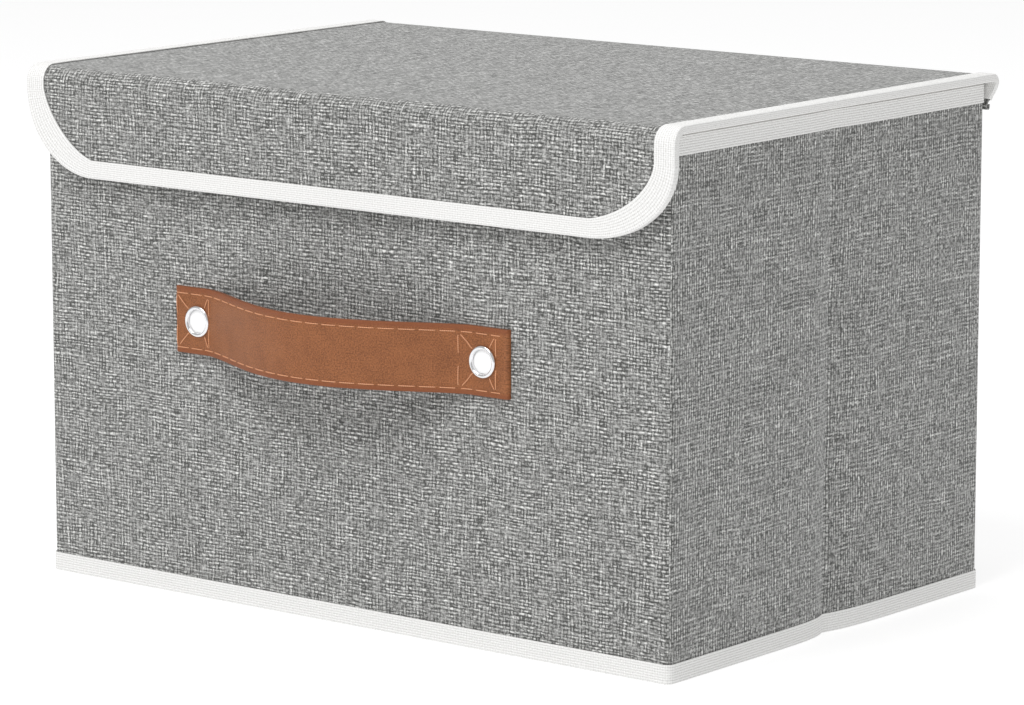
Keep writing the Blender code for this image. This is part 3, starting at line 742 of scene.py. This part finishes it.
def carry(obj, bodies, ends):
    """Fix a piece to its one body; a piece with two bodies is only baked in place, not blended."""
    if len(bodies) == 1:
        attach(obj, bodies[0])
    else:
        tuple(ends[0])
        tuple(ends[1])
        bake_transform(obj)


def pierce(obj):
    """Cut the two eyelets' holes through a piece."""
    for side in (1, -1):
        bpy.ops.mesh.primitive_cylinder_add(
            vertices=48, radius=HOLE_RADIUS, depth=0.0080,
            location=(STRAP_MIDDLE + side * EYELET_X, -HALF_DEPTH - 0.0010, STRAP_HEIGHT),
            rotation=(pi / 2, 0, 0),
        )
        cutter = bpy.context.object
        modifier = obj.modifiers.new("hole", "BOOLEAN")
        modifier.operation = "DIFFERENCE"
        modifier.solver = "EXACT"
        modifier.object = cutter
        graph = bpy.context.evaluated_depsgraph_get()
        cut_mesh = bpy.data.meshes.new_from_object(obj.evaluated_get(graph))
        obj.modifiers.clear()
        obj.data = cut_mesh
        bpy.data.objects.remove(cutter, do_unlink=True)
    obj.data.set_sharp_from_angle(angle=radians(50))


SHEET_LOW = TAPE_PROUD
SHEET_HIGH = BODY_HEIGHT - TAPE_PROUD
RIM_RING, RIM_LENGTHS, RIM_GROOVES = tape_ring(RIM_TAPE_WIDTH, WALL, 8, 3, 0.00024, 0.00040)
BASE_RING, BASE_LENGTHS, BASE_GROOVES = tape_ring(BASE_TAPE_WIDTH, WALL, 7, 3, 0.00020)
LAYERS = {
    "cloth": (*sheet_ring(0.0, CLOTH, SHEET_LOW, SHEET_HIGH), CLOTH_WEAVE, "grey_cloth", None),
    "lining": (*sheet_ring(WALL - LINING, WALL, SHEET_LOW, SHEET_HIGH), LINING_FELT, "lining", None),
    "rim_tape": (*upright(RIM_RING, RIM_LENGTHS, True), TAPE_WEAVE, "white_tape", RIM_GROOVES),
    "base_tape": (*upright(BASE_RING, BASE_LENGTHS, False), TAPE_WEAVE, "white_tape", BASE_GROOVES),
}


def build_walls():
    for layer, (ring, around, material, slot_name, grooves) in LAYERS.items():
        for run, part in WALL_RUNS.items():
            stations, side, end, start, bodies, ends = part
            obj = wall_layer(f"{run}_{layer}", part, ring, around, material, slot_name, grooves)
            if layer == "cloth" and end == -1 and run.startswith("front"):
                pierce(obj)
            stood_for = [f"{body}_{layer}" for body in bodies]
            if layer == "cloth" and "crease" in run:
                stood_for += [f"{body}_board" for body in bodies]
            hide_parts(*stood_for)
            carry(obj, bodies, ends)
            lengths = run_lengths(stations, side, end, 0.0)


# Lid, flap and hinge


def side_view_path():
    """The lid cloth's outer face in the side view, from the hem behind to the flap's bottom.

    It comes with the places in it where pieces begin or end.
    """
    def over_rim(places):
        return [(HALF_DEPTH + out, RIM_EDGE + up) for out, up in places]

    on_cloth = HALF_DEPTH + SEAT + CLOTH
    path = [(on_cloth + 2 * HEM_ROLL, RIM_EDGE - HEM_DROP / 2)]
    path += arc((on_cloth + HEM_ROLL, RIM_EDGE - HEM_DROP), HEM_ROLL, 0.0, -pi, 12)
    path += [(on_cloth, RIM_EDGE - down) for down in HEM_SEAM] + over_rim(SEAM_TO_WAIST)
    marks = {"waist": len(path) - 1}
    path += over_rim(WAIST_TO_HINGE)
    marks["hinge_middle"] = len(path) - 1
    path += over_rim(HINGE_TO_BEND) + arc(HINGE_BEND_CENTRE, HINGE_RADIUS, 0.0, pi / 2, 12)
    marks["bend_end"] = len(path) - 1
    path += [(y, LID_TOP) for y in steps(HALF_DEPTH - 0.0025, 0.0, 0.006)]
    marks["lid_middle"] = len(path) - 1
    path += [(y, LID_TOP) for y in steps(0.0, LID_BEND_CENTRE[0] + 0.0005, 0.006)][1:]
    path += arc(LID_BEND_CENTRE, LID_BEND_RADIUS, pi / 2, pi, 12)
    corner = FLAP_BOTTOM + FLAP_CORNER_RADIUS
    path += [(FLAP_FACE_Y, z) for z in steps(LID_BEND_CENTRE[1], corner, 0.0011)[1:]]
    marks["corner"] = len(path) - 1
    radius = FLAP_CORNER_RADIUS - TAPE_PROUD
    path += [(FLAP_FACE_Y, corner - radius * sin(pi / 2 * i / 24)) for i in range(1, 25)]
    return path, marks


def path_frames(path):
    """Each point with its outward direction and the length so far."""
    frames = []
    length = 0.0
    for i, (y, z) in enumerate(path):
        before = path[max(i - 1, 0)]
        after = path[min(i + 1, len(path) - 1)]
        run = Vector((after[0] - before[0], after[1] - before[1])).normalized()
        if i:
            length += hypot(y - before[0], z - before[1])
        frames.append((Vector((y, z)), Vector((run.y, -run.x)), length))
    return frames


PATH, MARKS = side_view_path()
FRAMES = path_frames(PATH)
LID_MAP_START = 5.0
# The level part of the lid on its map, in millimetres
TOP_START = 1000 * (LID_MAP_START + FRAMES[MARKS["bend_end"]][2])
TOP_END = 1000 * (LID_MAP_START + FRAMES[MARKS["lid_middle"]][2] - LID_BEND_CENTRE[0]) + 4
LID_WEAVE = woven_cloth("melange_weave_lid", (TOP_START, TOP_END))


def edge_at(i):
    """Where the side tape's outer edge is: it draws in towards the hem behind."""
    z = PATH[i][1]
    if i > MARKS["lid_middle"]:
        return LID_HALF_WIDTH
    narrowed = smooth((BODY_HEIGHT - z) / NARROWING_HEIGHT)
    return LID_HALF_WIDTH - (LID_HALF_WIDTH - HEM_HALF_WIDTH) * narrowed


def flap_share(i):
    """From 0 on the lid's top to 1 down on the flap, along the front bend."""
    y, z = PATH[i]
    if i <= MARKS["lid_middle"]:
        return 0.0
    return smooth((-y - SPREAD_START + LID_TOP - z) / SPREAD_LENGTH)


def lid_half_width(i, side=1):
    """Half the cloth's width: less at the flap's rounded corners and at the hem."""
    across, tall = FLAP_CORNERS[side]
    z = PATH[i][1]
    edge = edge_at(i) + FLAP_SPREAD[side] * flap_share(i)
    if i <= MARKS["lid_middle"] or z >= FLAP_BOTTOM + tall:
        return edge - TAPE_PROUD
    down = min((FLAP_BOTTOM + tall - z) / (tall - TAPE_PROUD), 1.0)
    return edge - across + (across - TAPE_PROUD) * sqrt(1 - down * down)


def lid_rings(first, last, pitch, near, far):
    """Rings across the lid from one point of its path to another, and lengths along it.

    near and far tell how deep the sheet's two sides lie under the cloth's face at a point.
    """
    shares = steps(-1.0, 1.0, pitch)
    rings = []
    along = []
    for i in range(first, last + 1):
        place, out, length = FRAMES[i]
        half = [s * lid_half_width(i, 1 if s > 0 else -1) for s in shares]
        ring = []
        for depth, xs in ((near(i), half), (far(i), half[::-1])):
            level = place - out * depth
            ring += [Vector((x, level.x, level.y)) for x in xs]
        rings.append(ring)
        along.append(length)
    return rings, along


def lid_sheet(name, first, last, near, far, material):
    """A sheet across the lid, mapped by how far its points are from the lid's middle."""
    rings, along = lid_rings(first, last, 0.05, lambda i: near, lambda i: far)
    count = len(rings[0])

    def map_at(i, j):
        return rings[i][j % count].x, LID_MAP_START + along[i]

    faces, corners = join_rings(len(rings), count, map_at)
    return make_mesh(name, flatten(rings), faces, corners, material)


def lid_lining(name, first, last):
    """The rear lining, whose depth grows where the lid's board begins."""
    pitch = 0.1
    rings, along = lid_rings(first, last, pitch, lambda i: stack_at(i) - LINING, stack_at)
    shares = steps(-1.0, 1.0, pitch)
    across = [s * LID_HALF_WIDTH for s in shares + shares[::-1] + shares[:1]]
    return tube(name, rings, along, across, LINING_FELT)


def stack_at(i):
    """How thick the cloth, board and lining are under the tape, at a point of the path."""
    bend = MARKS["hinge_middle"] + 2
    share = smooth((i - bend) / 12)
    return HINGE_STACK + (LID_STACK - HINGE_STACK) * share


def lid_tape_ring(stack, wider=0.0):
    return tape_ring(LID_TAPE_WIDTH + wider, stack, 8, 3, 0.00010)


def tape_along_side(first, last, side):
    """Rings of a side tape from one point of the path to another, and lengths along it."""
    rings = []
    along = []
    for i in range(first, last + 1):
        place, out, length = FRAMES[i]
        share = flap_share(i)
        ring, _, _ = lid_tape_ring(stack_at(i), FLAP_TAPE_WIDER * share)
        edge = edge_at(i) + FLAP_SPREAD[side] * share
        rings.append([
            Vector((side * (edge - a), place.x + out.x * o, place.y + out.y * o))
            for a, o in ring
        ])
        along.append(length)
    return rings, along


def tape_round_flap():
    """Rings from the lid's right side, round the flap, and back to the lid's left side."""
    right, along = tape_along_side(MARKS["lid_middle"], MARKS["corner"], 1)
    left, _ = tape_along_side(MARKS["lid_middle"], MARKS["corner"], -1)
    rings = list(right)
    lengths = list(along)

    def add(x, z, inwards, wider):
        ring, _, _ = lid_tape_ring(LID_STACK, wider)
        rings.append([
            Vector((x + inwards[0] * a, FLAP_FACE_Y - o, z + inwards[1] * a)) for a, o in ring
        ])
        lengths.append(lengths[-1] + (rings[-1][0] - rings[-2][0]).length)

    def corner(side, count=28):
        """Down the last of one side and round its corner, as a list of stations."""
        across, tall = FLAP_CORNERS[side]
        edge = LID_HALF_WIDTH + FLAP_SPREAD[side]
        start = FLAP_BOTTOM + FLAP_CORNER_RADIUS
        stations = []
        for z in steps(start, FLAP_BOTTOM + tall, 0.0020)[1:]:
            stations.append((side * edge, z, (-side, 0.0), FLAP_TAPE_WIDER))
        for i in range(1, count + 1):
            angle = pi / 2 * i / count
            x = edge - across + across * cos(angle)
            z = FLAP_BOTTOM + tall - tall * sin(angle)
            inwards = Vector((-cos(angle) / across, sin(angle) / tall)).normalized()
            wider = FLAP_TAPE_WIDER * (1 - (i / count) ** 2)
            wider += FLAP_TAPE_BULGE[side] * sin(pi * i / count)
            stations.append((side * x, z, (side * inwards.x, inwards.y), wider))
        return stations

    for station in corner(1):
        add(*station)
    turn_back = corner(-1)
    for x in steps(rings[-1][0].x, turn_back[-1][0], 0.008)[1:-1]:
        add(x, FLAP_BOTTOM, (0.0, 1.0), 0.0)
    for station in reversed(turn_back):
        add(*station)
    for ring in left[::-1]:
        rings.append(ring)
        lengths.append(lengths[-1] + (rings[-1][0] - rings[-2][0]).length)
    return rings, lengths


# Where each of the lid's bends begins and ends
HINGE_LOW_BLEND = ((0.0, 0.1263, 0.2358), (0.0, 0.1263, 0.2388))
LID_REAR_BLEND = ((0.0, 0.1279, 0.2475), (0.0, 0.1230, 0.2522))
LID_FRONT_BLEND = ((0.0, -0.1264, 0.2492), (0.0, FLAP_FACE_Y, 0.2437))


def build_lid():
    end = len(PATH) - 1
    middle, waist, hinge = MARKS["lid_middle"], MARKS["waist"], MARKS["hinge_middle"]
    lining_near = LID_STACK - LINING

    def finish(obj, bodies, ends, nodes):
        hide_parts(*nodes)
        carry(obj, bodies, ends)

    low = lid_sheet("hinge_hem_cloth", 0, hinge, 0.0, CLOTH, LID_WEAVE)
    finish(low, ("back", "hinge"), HINGE_LOW_BLEND, ["hinge_cloth"])
    rear = lid_sheet("lid_rear_cloth", hinge, middle, 0.0, CLOTH, LID_WEAVE)
    finish(rear, ("hinge", "lid"), LID_REAR_BLEND, ["hinge_cloth", "lid_cloth"])
    front = lid_sheet("lid_front_cloth", middle, end, 0.0, CLOTH, LID_WEAVE)
    finish(front, ("lid", "flap"), LID_FRONT_BLEND, ["lid_cloth", "flap_cloth"])

    rear = lid_lining("lid_rear_lining", waist, middle)
    finish(rear, ("hinge", "lid"), LID_REAR_BLEND, ["hinge_lining", "lid_lining"])
    front = lid_sheet("lid_front_lining", middle, end, lining_near, LID_STACK, LINING_FELT)
    finish(front, ("lid", "flap"), LID_FRONT_BLEND, ["lid_lining", "flap_lining"])

    _, around, grooves = lid_tape_ring(LID_STACK)
    for name, side in (("right", 1), ("left", -1)):
        rings, along = tape_along_side(waist, middle, side)
        tape = tube(f"lid_rear_{name}_tape", rings, along, around, TAPE_WEAVE, grooves)
        finish(tape, ("hinge", "lid"), LID_REAR_BLEND,
               [f"hinge_{name}_tape", f"lid_{name}_tape"])
    rings, along = tape_round_flap()
    tape = tube("lid_front_tape", rings, along, around, TAPE_WEAVE, grooves)
    finish(tape, ("lid", "flap"), LID_FRONT_BLEND, ["flap_tape", "lid_right_tape", "lid_left_tape"])


# Floor


def build_floor():
    """The soft floor's two layers, sewn in between the base tapes."""
    half_x = HALF_WIDTH - WALL - TAPE_PROUD - SEAT
    half_y = HALF_DEPTH - WALL - TAPE_PROUD - SEAT
    xs = steps(-half_x, half_x, 0.012)
    ys = steps(-half_y, half_y, 0.012)
    around = xs + xs[::-1] + xs[:1]
    for layer, low, high, material, slot_name in (
        ("cloth", 0.0, CLOTH, CLOTH_WEAVE, "grey_cloth"),
        ("lining", CLOTH + SEAT, CLOTH + SEAT + LINING, LINING_FELT, "lining"),
    ):
        levels = [(x, low) for x in xs] + [(x, high) for x in xs[::-1]]
        rings = [[Vector((x, y, z)) for x, z in levels] for y in ys]
        obj = tube(f"sewn_floor_{layer}", rings, ys, around, material)
        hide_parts(f"floor_{layer}")
        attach(obj, "back")
        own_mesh(obj)


# Strap


def strap_offset(x):
    """How far the backing stands off the front cloth at a distance from its middle."""
    share = min(abs(x - STRAP_BOW_MIDDLE) / STRAP_FREE_HALF, 1.0)
    return SEAT + STRAP_BOW * (1.0 - share * share) ** 1.5


def strap_place(x, out):
    """A point in plan off the strap's inner line, and the direction outwards there."""
    step = 0.0001
    slope = (strap_offset(x + step) - strap_offset(x - step)) / (2 * step)
    normal = Vector((-slope, 1.0)).normalized()
    place = Vector((x, strap_offset(x))) + normal * out
    return Vector((STRAP_MIDDLE + place.x, -HALF_DEPTH - place.y)), Vector((normal.x, -normal.y))


def strap_xs(limit):
    """Places along the strap, close together where it leaves the wall."""
    free = [STRAP_BOW_MIDDLE + STRAP_FREE_HALF * cos(pi * i / 72) for i in range(73)]
    return steps(limit, free[0], 0.0012)[:-1] + free + steps(free[-1], -limit, 0.0012)[1:]


def leather_section(across):
    """How thick the leather is at a distance from its middle line."""
    edge = STRAP_WIDTH / 2 - abs(across)
    face = STRAP_LEATHER
    if edge < LEATHER_ROUNDING:
        rest = max(LEATHER_ROUNDING ** 2 - (LEATHER_ROUNDING - edge) ** 2, 0.0)
        face -= LEATHER_ROUNDING - sqrt(rest)
    seam = (across - (UPPER_SEAM if across > 0 else LOWER_SEAM)) / SEAM_GROOVE_HALF
    return face - SEAM_GROOVE * exp(-seam * seam)


def leather_rows():
    """Heights across the strap, close together at its edges and its seams."""
    half = STRAP_WIDTH / 2
    near = [half - LEATHER_ROUNDING * (1 - cos(pi / 2 * i / 4)) for i in range(5)]
    rows = near + steps(half - 0.0011, half - 0.0046, 0.00035)
    middle = steps(rows[-1], -rows[-1], 0.0016)
    return rows[:-1] + middle + [-v for v in reversed(rows[:-1])]


def strap_end(side):
    """Places where the leather turns round its end and in to the wall."""
    base, _ = strap_place(side * STRAP_TURN, STRAP_BACKING + SEAT)
    centre = Vector((base.x, base.y + STRAP_END_RADIUS))
    turned = []
    for i in range(1, 7):
        angle = pi / 2 * i / 6
        out = Vector((side * sin(angle), -cos(angle)))
        turned.append((centre + out * STRAP_END_RADIUS, out, side * STRAP_HALF))
    wall = Vector((centre.x + side * STRAP_END_RADIUS, -HALF_DEPTH - SEAT))
    return turned + [(wall, Vector((side * 1.0, 0.0)), side * STRAP_HALF)]


def finish_strap(name, rings, along, rows, material, node):
    around = [STRAP_HEIGHT + v for v in rows]
    piece = tube(name, rings, along, around + around[:1], material)
    pierce(piece)
    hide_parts(node)
    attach(piece, "front")


def build_leather():
    """The strap's leather, with rounded edges, a groove under each seam and a ridge near an end."""
    rows = leather_rows()
    frames = [(*strap_place(x, STRAP_BACKING + SEAT), x) for x in strap_xs(STRAP_TURN)]
    frames = strap_end(1)[::-1] + frames + strap_end(-1)
    rings = []
    along = []
    length = 0.0
    for i, (place, out, x) in enumerate(frames):
        if i:
            length += (place - frames[i - 1][0]).length
        ridge = RIDGE * exp(-(((x - RIDGE_X) / RIDGE_HALF) ** 2))
        ring = [(place + out * (leather_section(v) + ridge), v) for v in rows]
        ring += [(place + out * 0.00002, v) for v in (rows[-1], rows[0])]
        rings.append([Vector((p.x, p.y, STRAP_HEIGHT + v)) for p, v in ring])
        along.append(length)
    rows += [rows[-1], rows[0]]
    finish_strap("leather_strap", rings, along, rows, LEATHER, "strap_leather")


def build_backing():
    """The thinner leather behind, a little narrower."""
    half = STRAP_WIDTH / 2 - 0.0001
    rows = [-half, half, half, -half]
    rings = []
    along = []
    for x in strap_xs(STRAP_HALF - STRAP_LEATHER - SEAT):
        inner, _ = strap_place(x, 0.0)
        outer, _ = strap_place(x, STRAP_BACKING)
        places = (outer, outer, inner, inner)
        rings.append([Vector((p.x, p.y, STRAP_HEIGHT + v)) for p, v in zip(places, rows)])
        along.append(-x)
    finish_strap(
        "leather_strap_back", rings, along, rows, BACKING, "strap_backing")


class Stitches:
    """Raised thread strokes laid on the strap, gathered in one mesh."""

    def __init__(self):
        self.points = []
        self.faces = []
        self.corners = []

    def stroke(self, start, end):
        """One stroke between two places on the strap, dipping into the leather at both ends."""
        sides = 6
        x_run, v_run = end[0] - start[0], end[1] - start[1]
        length = hypot(x_run, v_run)
        count = max(4, round(length / 0.0012))
        base = len(self.points)
        straight = Vector((x_run, 0.0, v_run)).normalized()
        for i in range(count + 1):
            share = i / count
            x = start[0] + x_run * share
            v = start[1] + v_run * share
            dip = abs(2 * share - 1) ** 4
            lift = STRAP_BACKING + SEAT + leather_section(v) + THREAD_LIFT - THREAD_DIP * dip
            place, out = strap_place(x, lift)
            centre = Vector((place.x, place.y, STRAP_HEIGHT + v))
            normal = Vector((out.x, out.y, 0.0))
            run = (straight - normal * straight.dot(normal)).normalized()
            side = normal.cross(run)
            for j in range(sides):
                turn = 2 * pi * j / sides
                round_it = normal * cos(turn) + side * sin(turn)
                self.points.append(centre + round_it * THREAD_RADIUS)

        def map_at(i, j):
            return length * i / count, 0.001 * j / sides

        faces, corners = join_rings(count + 1, sides, map_at, base)
        self.faces += faces
        self.corners += corners

    def line(self, start, end, stroke, gap):
        """Strokes of about one length, in a row between two places."""
        whole = hypot(end[0] - start[0], end[1] - start[1])
        count = max(1, round((whole + gap) / (stroke + gap)))
        each = (whole - gap * (count - 1)) / count
        for i in range(count):
            low = (each + gap) * i / whole
            high = ((each + gap) * i + each) / whole
            self.stroke(
                tuple(a + (b - a) * low for a, b in zip(start, end)),
                tuple(a + (b - a) * high for a, b in zip(start, end)),
            )


def build_stitches():
    """Two long seams, and at each end a square of stitches with strokes to the eyelet."""
    made = Stitches()
    for v in (UPPER_SEAM, LOWER_SEAM):
        for start, end, stroke, gap in SEAM_RUNS:
            made.line((start, v), (end, v), stroke, gap)
    for x in CROSS_ROWS:
        made.stroke((x, UPPER_SEAM - 0.0009), (x + 0.0002, 0.0024))
        made.stroke((x + 0.0001, -0.0024), (x, LOWER_SEAM + 0.0009))
    for eyelet, (left, right) in SQUARES.items():
        for x, v in (
            (left, UPPER_SEAM), (right, UPPER_SEAM), (left + 0.0008, LOWER_SEAM), (right, LOWER_SEAM),
        ):
            start = Vector((x, v * 0.93))
            along = Vector((eyelet, 0.0)) - start
            stop = start + along.normalized() * (along.length - EYELET_FLANGE_RADIUS)
            made.stroke(tuple(start), tuple(stop))
    obj = make_mesh("strap_stitches", made.points, made.faces, made.corners, THREAD)
    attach(obj, "front")


# Eyelets


def at_eyelet(side, radius, turn, level):
    """A point round an eyelet's axis, at a level out from the front cloth."""
    x = STRAP_MIDDLE + side * EYELET_X + radius * cos(turn)
    return Vector((x, -HALF_DEPTH - level, STRAP_HEIGHT + radius * sin(turn)))


def build_eyelets():
    """Turned eyelets: a domed flange, a barrel, and a lip behind."""
    sides = 64
    seat = STRAP_FACE + SEAT
    crown = (EYELET_FLANGE_RADIUS + EYELET_BORE_RADIUS) / 2
    reach = EYELET_FLANGE_RADIUS - crown
    dome = [(crown + reach * cos(pi * i / 12), seat + 0.0010 * sin(pi * i / 12)) for i in range(13)]
    barrel = EYELET_BORE_RADIUS + 0.00035
    back = -CLOTH - SEAT - 0.0004 - SEAT
    profile = dome + [
        (EYELET_BORE_RADIUS, back - 0.0002), (LIP_RADIUS, back - 0.0002), (LIP_RADIUS, back),
        (barrel, back), (barrel, seat),
    ]

    def map_at(i, j):
        return i * 0.0007, j * 0.0003

    faces, corners = join_rings(sides, len(profile), map_at, closed=True)
    for name, side in (("left", -1), ("right", 1)):
        rings = [[at_eyelet(side, r, 2 * pi * i / sides, z) for r, z in profile] for i in range(sides)]
        obj = make_mesh(f"{name}_turned_eyelet", flatten(rings), faces, corners, METAL)
        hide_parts(f"{name}_eyelet")
        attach(obj, "front")


def build_eyelet_cores():
    """The white board seen in each eyelet, pressed up close behind the flange."""
    sides = 48
    radius = EYELET_BORE_RADIUS - 0.0001
    turns = [2 * pi * i / sides for i in range(sides)]
    around = [0.0008 * i for i in range(sides + 1)]
    for name, side in (("left", -1), ("right", 1)):
        rings = []
        along = []
        for share in (0.0, 0.35, 0.7, 0.9, 1.0):
            out = max(share, 0.02) * radius
            level = STRAP_FACE - 0.0003 * share ** 4
            rings.append([at_eyelet(side, out, turn, level) for turn in turns])
            along.append(share * radius)
        rings.append([Vector((p.x, -HALF_DEPTH - 0.0008, p.z)) for p in rings[-1]])
        along.append(radius + STRAP_FACE)
        core = tube(f"{name}_eyelet_core", rings, along, around, BOARD)
        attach(core, "front")


def paint_carried_nodes():
    """The hidden boards and washers are the CAD's own; they get the same materials."""
    for name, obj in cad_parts.items():
        if obj.hide_render:
            continue
        is_metal = "washer" in name or "eyelet" in name
        obj.data.materials.clear()
        obj.data.materials.append(METAL if is_metal else BOARD)


# Studio


def glowing_plane(name, corners, colour, strength):
    """A matt plane that also gives a little light of its own."""
    mesh = bpy.data.meshes.new(name)
    mesh.from_pydata(corners, [], [(0, 1, 2, 3)])
    material = bpy.data.materials.new(name)
    material.use_nodes = True
    shader = material.node_tree.nodes["Principled BSDF"]
    shader.inputs["Base Color"].default_value = colour
    shader.inputs["Roughness"].default_value = 0.9
    shader.inputs["Emission Color"].default_value = (1.0, 1.0, 1.0, 1.0)
    shader.inputs["Emission Strength"].default_value = strength
    mesh.materials.append(material)
    obj = bpy.data.objects.new(name, mesh)
    bpy.context.scene.collection.objects.link(obj)


def area_light(name, place, target, size, power):
    data = bpy.data.lights.new(name, "AREA")
    data.shape = "SQUARE"
    data.size = size
    data.energy = power
    obj = bpy.data.objects.new(name, data)
    bpy.context.scene.collection.objects.link(obj)
    obj.location = place
    obj.rotation_euler = (Vector(target) - Vector(place)).to_track_quat("-Z", "Y").to_euler()


def build_studio():
    """A pale floor in even light."""
    world = bpy.data.worlds.new("studio")
    world.use_nodes = True
    background = world.node_tree.nodes["Background"]
    background.inputs[0].default_value = (1.0, 1.0, 1.0, 1.0)
    background.inputs[1].default_value = WORLD_LIGHT
    scene = bpy.context.scene
    scene.world = world
    scene.view_settings.view_transform = "Standard"
    scene.view_settings.look = "None"
    ends = [(x * FLOOR_REACH, y * FLOOR_REACH, 0.0) for x, y in ((-1, -1), (1, -1), (1, 1), (-1, 1))]
    glowing_plane("floor", ends, FLOOR_COLOUR, FLOOR_GLOW)
    for lamp in LAMPS:
        area_light(*lamp)


def build_camera():
    """The photo's view."""
    azimuth, elevation = radians(CAMERA_AZIMUTH), radians(CAMERA_ELEVATION)
    direction = Vector((
        sin(azimuth) * cos(elevation), -cos(azimuth) * cos(elevation), sin(elevation),
    ))
    data = bpy.data.cameras.new("photo_view")
    data.sensor_width = SENSOR_WIDTH
    data.lens = LENS_PIXELS / PHOTO_WIDTH * SENSOR_WIDTH
    data.dof.use_dof = False
    camera = bpy.data.objects.new("photo_view", data)
    bpy.context.scene.collection.objects.link(camera)
    camera.location = Vector(CAMERA_TARGET) + direction * CAMERA_DISTANCE
    camera.rotation_euler = (-direction).to_track_quat("-Z", "Y").to_euler()
    bpy.context.scene.camera = camera


build_walls()
build_lid()
build_floor()
build_leather()
build_backing()
build_stitches()
build_eyelets()
build_eyelet_cores()
paint_carried_nodes()
build_studio()
build_camera()
